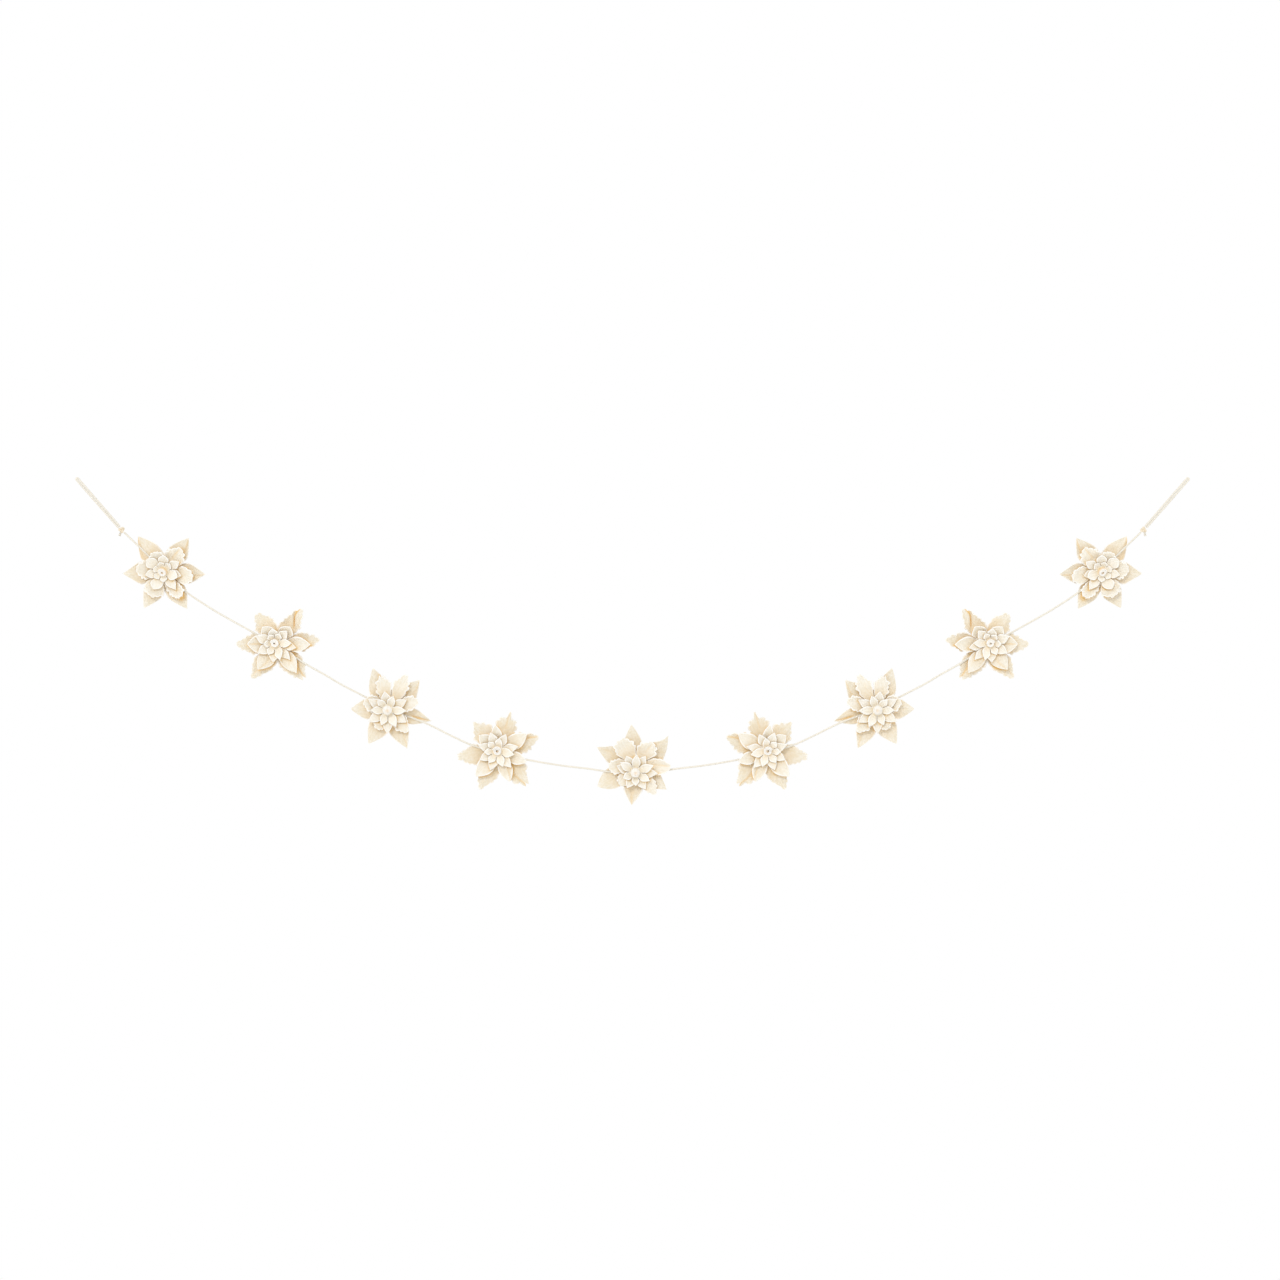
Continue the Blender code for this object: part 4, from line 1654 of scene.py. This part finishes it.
    def petal_place(self, petal: Petal, along: float, across: float, gap: float,
                    depth: float) -> tuple[Vector, float]:
        """Return a flat place on the petal's free length.

        Args:
            petal: the petal.
            along: 0 at the notch and 1 at the tip.
            across: -1 at the clockwise edge and 1 at the other.
            gap: the angle from the midrib to the notch on that side.
            depth: how far the edge stands out of its plain outline there.

        Returns:
            The flat place from the star's centre, and the place across the widest width.
        """
        side = 1 if across >= 0 else -1
        notch = self.plan.notch
        widest = petal.width * MM / 2
        turn = abs(across) * gap
        start = notch * math.cos(turn)
        free = petal.reach * MM - start
        distance = start + free * along
        half = self.half_width(petal, along, notch * math.sin(gap))
        step = 0.03
        before = self.half_width(petal, max(along - step, 0.0), notch * math.sin(gap))
        slope = (half - before) / (step * free)
        square = math.hypot(slope, 1.0)
        edge = half + depth / square
        if 0 < along < 1:
            room = distance * math.tan(min(gap, 1.4)) - self.space
            edge = min(edge, room - side * self.sway(petal, along))
        at_rim = ease((abs(across) - RIM_START) / RIM_WIDTH)
        if along == 0:
            width = half * math.sin(turn) / math.sin(gap)
        else:
            width = mix(half, edge, at_rim) * abs(across)
        distance += depth * (self.lean - slope / square) * at_rim
        if petal.fingers:
            valley = 0.5 + 0.5 * math.cos(math.pi * petal.fingers * (across + 1))
            if petal.fingers == 1:
                valley **= BLUNT
            distance -= petal.cut * MM * valley * ease((along - TIP_START) / TIP_LENGTH)
        sideways = side * width + self.sway(petal, along)
        angle = math.radians(petal.angle)
        place = Vector((
            distance * math.cos(angle) - sideways * math.sin(angle),
            distance * math.sin(angle) + sideways * math.cos(angle),
        ))
        return place, side * width / widest

    def sway(self, petal: Petal, along: float) -> float:
        """Return how far the midrib lies off its straight line."""
        return petal.sway * MM * along ** 1.5 + petal.hook * MM * ease((along - 0.6) / 0.4) ** 2

    def narrowing(self, petal: Petal, along: float) -> float:
        """Return the petal's width as a part of its widest, 1 up to its widest place."""
        past = max(along - self.plan.widest, 0.0) / (1 - self.plan.widest)
        return 1 - past ** (petal.taper or self.plan.taper)

    def half_width(self, petal: Petal, along: float, notch_half_width: float) -> float:
        """Measure half the petal's width.

        Args:
            petal: the petal.
            along: 0 at its notch and 1 at its cut tip.
            notch_half_width: half its width at the notch.

        Returns:
            Half the width, before any teeth are cut.
        """
        widest = petal.width * MM / 2
        if along < self.plan.widest:
            grown = math.sin(math.pi / 2 * along / self.plan.widest)
            return mix(notch_half_width, widest, grown)
        tip = self.plan.tip * (PINKED_TIP if self.is_pinked else 1.0)
        if petal.fingers:
            tip = widest * (ONE_FINGER if petal.fingers == 1 else MORE_FINGERS)
        return max(widest * self.narrowing(petal, along), tip)

    def rise(self, petal: Petal, along: float, across: float) -> float:
        """Return how far in front of the star's flat middle the felt lies, in metres.

        Args:
            petal: the petal.
            along: 0 at its notch and 1 at its tip.
            across: the place across its widest width, -1 to 1.

        Returns:
            The height.
        """
        grown = ease(along / FOLD_LENGTH)
        height = petal.lift * along ** self.plan.spring
        height += petal.fold * grown * across * across
        height += petal.tilt * grown * across
        height += petal.curl * ease((along - TIP_START) / TIP_LENGTH)
        away = (across - petal.crease_at - petal.crease_turn * along) / petal.crease_width
        height += petal.crease * ease(along / CREASE_LENGTH) * math.exp(-away * away)
        height -= petal.back * grown * max(across - petal.crease_at, 0.0)
        wave = math.sin(math.radians(petal.angle) * 3 + along * 9 + across * 1.5)
        return height * MM + self.plan.ripple * wave * grown * across * across

    def shade(self, petal: Petal, along: float, across: float) -> float:
        """Tell how much painted shade a place gets in a fold: in a trough and on a part folded back.

        Args:
            petal: the petal.
            along: 0 at its notch and 1 at its tip.
            across: the place across it, -1 to 1.

        Returns:
            0 outside a fold and 1 deep in it.
        """
        away = (across - petal.crease_at - petal.crease_turn * along) / petal.crease_width
        trough = -petal.crease / DEEP_TROUGH * math.exp(-away * away) * ease(along / CREASE_LENGTH)
        behind = FOLDED_SHARE * ease((across - petal.crease_at) / 0.3) if petal.back else 0.0
        return min(max(trough, behind), 1.0)

    def edge_share(self, petal: Petal, along: float, across: float) -> float:
        """Tell how far a place lies on the petal's cut edge.

        Args:
            petal: the petal.
            along: 0 at its notch and 1 at its tip.
            across: the place across it, -1 to 1.

        Returns:
            1 on the edge, less on the hem along it, and 0 inside.
        """
        hem = 1 - self.plan.hem / (petal.width * MM / 2)
        if abs(across) >= hem - 0.001 or along == 1:
            return 1.0 if abs(across) == 1 or along == 1 else HEM_SHARE
        return TIP_SHARE if along > 0.96 else 0.0

    def in_frame(self, flat: Vector, height: float) -> Vector:
        """Put a place on the star into the garland's frame, a little uneven.

        Args:
            flat: the place from the star's centre.
            height: how far in front of the flat middle it lies.

        Returns:
            The point.
        """
        amount = self.unevenness * ease(flat.length / self.plan.notch - 0.8)
        own = self.plan.level() * 1700 + self.centre.z * 40
        bump = noise.noise(Vector((flat.x * self.bumps, flat.y * self.bumps, own))) * amount
        place = Vector((flat.x, -height - bump, flat.y))
        if self.is_turned:
            place.x = -place.x
        return self.centre + place


@dataclass
class FeltBall:
    """A felted wool ball, a little out of round, with a dimple where it is stitched through.

    Attributes:
        name: the piece's name.
        centre: its middle.
        radius: its radius.
        dimple: how deep the dimple is.
        dimple_width: how wide, as a part of the radius.
        dimple_place: how far its middle is to the right and up, in the same measure.
        lumps: how far the wool stands proud of the round.
        grains: its big and its small lumps: how close together, and how high.
        is_turned: whether it is built in the mirror.
    """

    name: str
    centre: Vector
    radius: float
    dimple: float = 1.3 * MM
    dimple_width: float = 0.36
    dimple_place: tuple[float, float] = (0.10, -0.10)
    lumps: float = 0.28 * MM
    grains: tuple[tuple[float, float], ...] = ((2.2, 1.2), (7.0, 0.5))
    is_turned: bool = False

    def build(self, finish: bpy.types.Material, node: str) -> bpy.types.Object:
        """Make the ball.

        Args:
            finish: its material.
            node: the CAD node that it stands for.

        Returns:
            The finished ball.
        """
        shape = felt_mesh()
        root = shape.verts.layers.float["root"]
        lay = shape.loops.layers.uv["lay"]
        bmesh.ops.create_icosphere(shape, subdivisions=5, radius=1.0)
        for vertex in shape.verts:
            way = vertex.co.normalized()
            off = math.hypot(way.x - self.dimple_place[0], way.z - self.dimple_place[1]) / self.dimple_width
            pressed = math.exp(-off * off) if way.y < 0 else 0.0
            lumpy = sum(noise.noise(way * grain) * share for grain, share in self.grains)
            length = self.radius - self.lumps * 0.8 + self.lumps * lumpy - self.dimple * pressed
            if self.is_turned:
                way.x = -way.x
            vertex.co = self.centre + way * length
            # Painted shade in the dimple.
            vertex[root] = 0.5 * pressed
            for loop in vertex.link_loops:
                loop[lay].uv = (vertex.co.x, vertex.co.z)
        bmesh.ops.recalc_face_normals(shape, faces=shape.faces)
        ball = add_piece(self.name, shape, finish, "wool_centre")
        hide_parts(node)
        return ball


@dataclass
class RolledButton:
    """A strip of felt rolled up on edge, its turns pressed together.

    Attributes:
        name: the piece's name.
        centre: the middle of the end that is glued down.
        radius: the roll's radius.
        height: the strip's width, which is the roll's height.
        dish: how far its middle is sunk, as a part of its height.
        nod: how far it leans forward and down, in degrees.
        hole: the radius of the open middle.
        flare: how much wider its front end is than its back.
        slip: how far it would move if it leaned right over.
        start_turn: where the strip starts.
        pressed: how thick its felt is, as a part of the sheet's.
        turn_gap: the gap between two turns.
        turn_steps: the steps in a turn.
        levels: the rows of the strip, 0 at its glued edge and 1 at its front one.
        waviness: how far a turn strays from the round.
        shoulder: the roll's height where it starts to dome, as a part of the strip's width.
        dome: how much higher its middle part is, before it is dished.
        worn: how much lower its rim is.
        is_turned: whether it is built in the mirror.
    """

    name: str
    centre: Vector
    radius: float
    height: float
    dish: float = 0.15
    nod: float = 0.0
    hole: float = 0.1 * MM
    flare: float = -0.4 * MM
    slip: Vector = field(default_factory=lambda: Vector((1.2 * MM, 0, 2.4 * MM)))
    start_turn: float = 0.6
    pressed: float = 0.94
    turn_gap: float = 0.05 * MM
    turn_steps: int = 22
    levels: tuple[float, ...] = (0.0, 0.1, 0.45, 0.85, 1.0)
    waviness: float = 0.15 * MM
    shoulder: float = 0.86
    dome: float = 0.14
    worn: float = 0.10
    is_turned: bool = False

    def build(self, finish: bpy.types.Material, node: str) -> bpy.types.Object:
        """Make the button.

        Args:
            finish: its material.
            node: the CAD node that it stands for.

        Returns:
            The finished button.
        """
        felt = FELT * self.pressed
        pitch = felt + self.turn_gap
        start = self.hole + felt / 2
        turns = (self.radius - felt / 2 - start) / pitch
        steps = round(turns * self.turn_steps)
        last_level = len(self.levels) - 1
        shape = felt_mesh()
        cut_edge_and_highlight = shape.verts.layers.float["cut_edge_and_highlight"]
        root = shape.verts.layers.float["root"]
        lay = shape.loops.layers.uv["lay"]
        grid = bmesh.ops.create_grid(shape, x_segments=steps, y_segments=last_level, size=0.5)
        for vertex in grid["verts"]:
            part = vertex.co.x + 0.5
            level = self.levels[round((vertex.co.y + 0.5) * last_level)]
            radius = start + pitch * turns * part
            angle = math.tau * (turns * part + self.start_turn)
            wobble = noise.noise(Vector((part * 9, level, self.centre.z * 30))) * self.waviness
            radius += wobble + self.flare * level * level * ease(part)
            up = self.height * self.crown(radius / self.radius) * level
            vertex.co = self.placed(Vector((math.cos(angle) * radius, -up, math.sin(angle) * radius)))
            # The front edge gets the pale cut-edge colour, partly a painted highlight; painted shade goes
            # towards the glued edge and into the sunk middle.
            vertex[cut_edge_and_highlight] = 0.6 * ease(part / 0.5) if level == 1.0 else 0.0
            inside = 1 - ease((radius / self.radius - 0.1) / 0.3)
            vertex[root] = max(1 - level, inside * min(0.3 + 2 * self.dish, 1.0))
            for loop in vertex.link_loops:
                loop[lay].uv = (radius * angle, up)
        bmesh.ops.recalc_face_normals(shape, faces=shape.faces)
        button = add_piece(self.name, shape, finish, "wool_centre")
        make_felt(button, felt)
        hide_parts(node)
        return button

    def crown(self, out: float) -> float:
        """Shape the roll's front: domed, dished in the middle, and low at the rim.

        Args:
            out: how far out the place is, as a part of the roll's radius.

        Returns:
            The height there, as a part of the strip's width.
        """
        domed = self.shoulder + self.dome * math.sin(math.pi * min(out / 1.4, 1.0))
        worn = self.worn * ease((out - 0.75) / 0.25)
        return domed - worn - self.dish * (1 - ease((out - 0.1) / 0.25))

    def placed(self, place: Vector) -> Vector:
        """Lean the roll forward and put a place on it into the garland's frame.

        Args:
            place: the place on the upright roll.

        Returns:
            The point.
        """
        lean = math.radians(self.nod)
        hinge = Vector((0, 0, -self.radius))
        turn = Matrix.Rotation(lean, 3, "X") @ Matrix.Rotation(-0.5 * lean, 3, "Z")
        leaned = turn @ (place - hinge) + hinge + self.slip * math.sin(lean)
        if self.is_turned:
            leaned.x = -leaned.x
        return self.centre + leaned


@dataclass
class FeltFlower:
    """One flower: four felt stars and its centre, in a stack on the cord.

    Attributes:
        number: its place along the garland, from 1.
        flower: its table row.
        finishes: the materials of its layers and of its centre.
    """

    number: int
    flower: Flower
    finishes: dict[str, bpy.types.Material]

    def build(self) -> None:
        """Make the flower's pieces, from the back one to the front one."""
        kind = self.flower.centre.value
        centre_node = f"flower_{self.number}_{kind}"
        low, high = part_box(centre_node)
        rests_on = "garland_cord"
        radius = (high.x - low.x) / 2
        stars = []
        for layer, plan in PLANS.items():
            stars.append(FeltStar(
                f"flower_{self.number}_{layer.value}_petals_felt", getattr(self.flower, layer.value), plan,
                self.hub(low, high, layer), self.flower.pinked is layer, self.flower.is_turned,
                seat_radius=radius if layer in FRONT else 0.0,
            ))
        for number, (layer, star) in enumerate(zip(PLANS, stars)):
            star.above = stars[number + 1:]
            star.build(self.finishes[layer.value], star.name.removesuffix("_felt"), rests_on)
            rests_on = star.name
        name = f"{centre_node}_felted"
        if self.flower.centre is Centre.BALL:
            centre = FeltBall(name, (low + high) / 2, radius, is_turned=self.flower.is_turned)
        else:
            seat = Vector(((low.x + high.x) / 2, high.y, (low.z + high.z) / 2))
            height = high.y - low.y
            centre = RolledButton(
                name, seat, radius, height, self.flower.dish, self.flower.nod,
                flare=self.flower.flare * MM, is_turned=self.flower.is_turned,
            )
        piece = centre.build(self.finishes["centre"], centre_node)
        log.info("%s: %d triangles", piece.name, count_triangles(piece))

    def hub(self, low: Vector, high: Vector, layer: Layer) -> Vector:
        """Return a star's centre.

        Args:
            low: the lowest corner of the flower's centre piece.
            high: its highest corner.
            layer: the star's layer. The centre piece lies square on the two front ones only.

        Returns:
            The place in the garland's frame.
        """
        middle = (low + high) / 2
        if layer not in FRONT:
            middle -= Vector((self.flower.shift_x, 0, self.flower.shift_z)) * MM
        return Vector((middle.x, -PLANS[layer].level(), middle.z))


def frame_span() -> float:
    """Return the distance between the two hang loops' tips, from the frame's mounts."""
    mounts = {mount["name"]: mount["pos_m"] for mount in frame["record"]["mounts"]}
    return mounts["right_hang_loop"][0] - mounts["left_hang_loop"][0]


def main() -> None:
    """Build the studio and the garland, piece by piece, and note the sizes."""
    logging.basicConfig(level=logging.INFO, format="%(message)s")
    cad_low, cad_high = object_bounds()
    Studio(cad_low, cad_high).build()
    Cords(frame_span()).build()
    finishes = {part: finish.material() for part, finish in FELT_FINISHES.items()}
    flowers = [*FLOWERS, *(flower.turned() for flower in reversed(FLOWERS[:-1]))]
    for number, flower in enumerate(flowers, start=1):
        FeltFlower(number, flower, finishes).build()


if __name__ == "__main__":
    main()
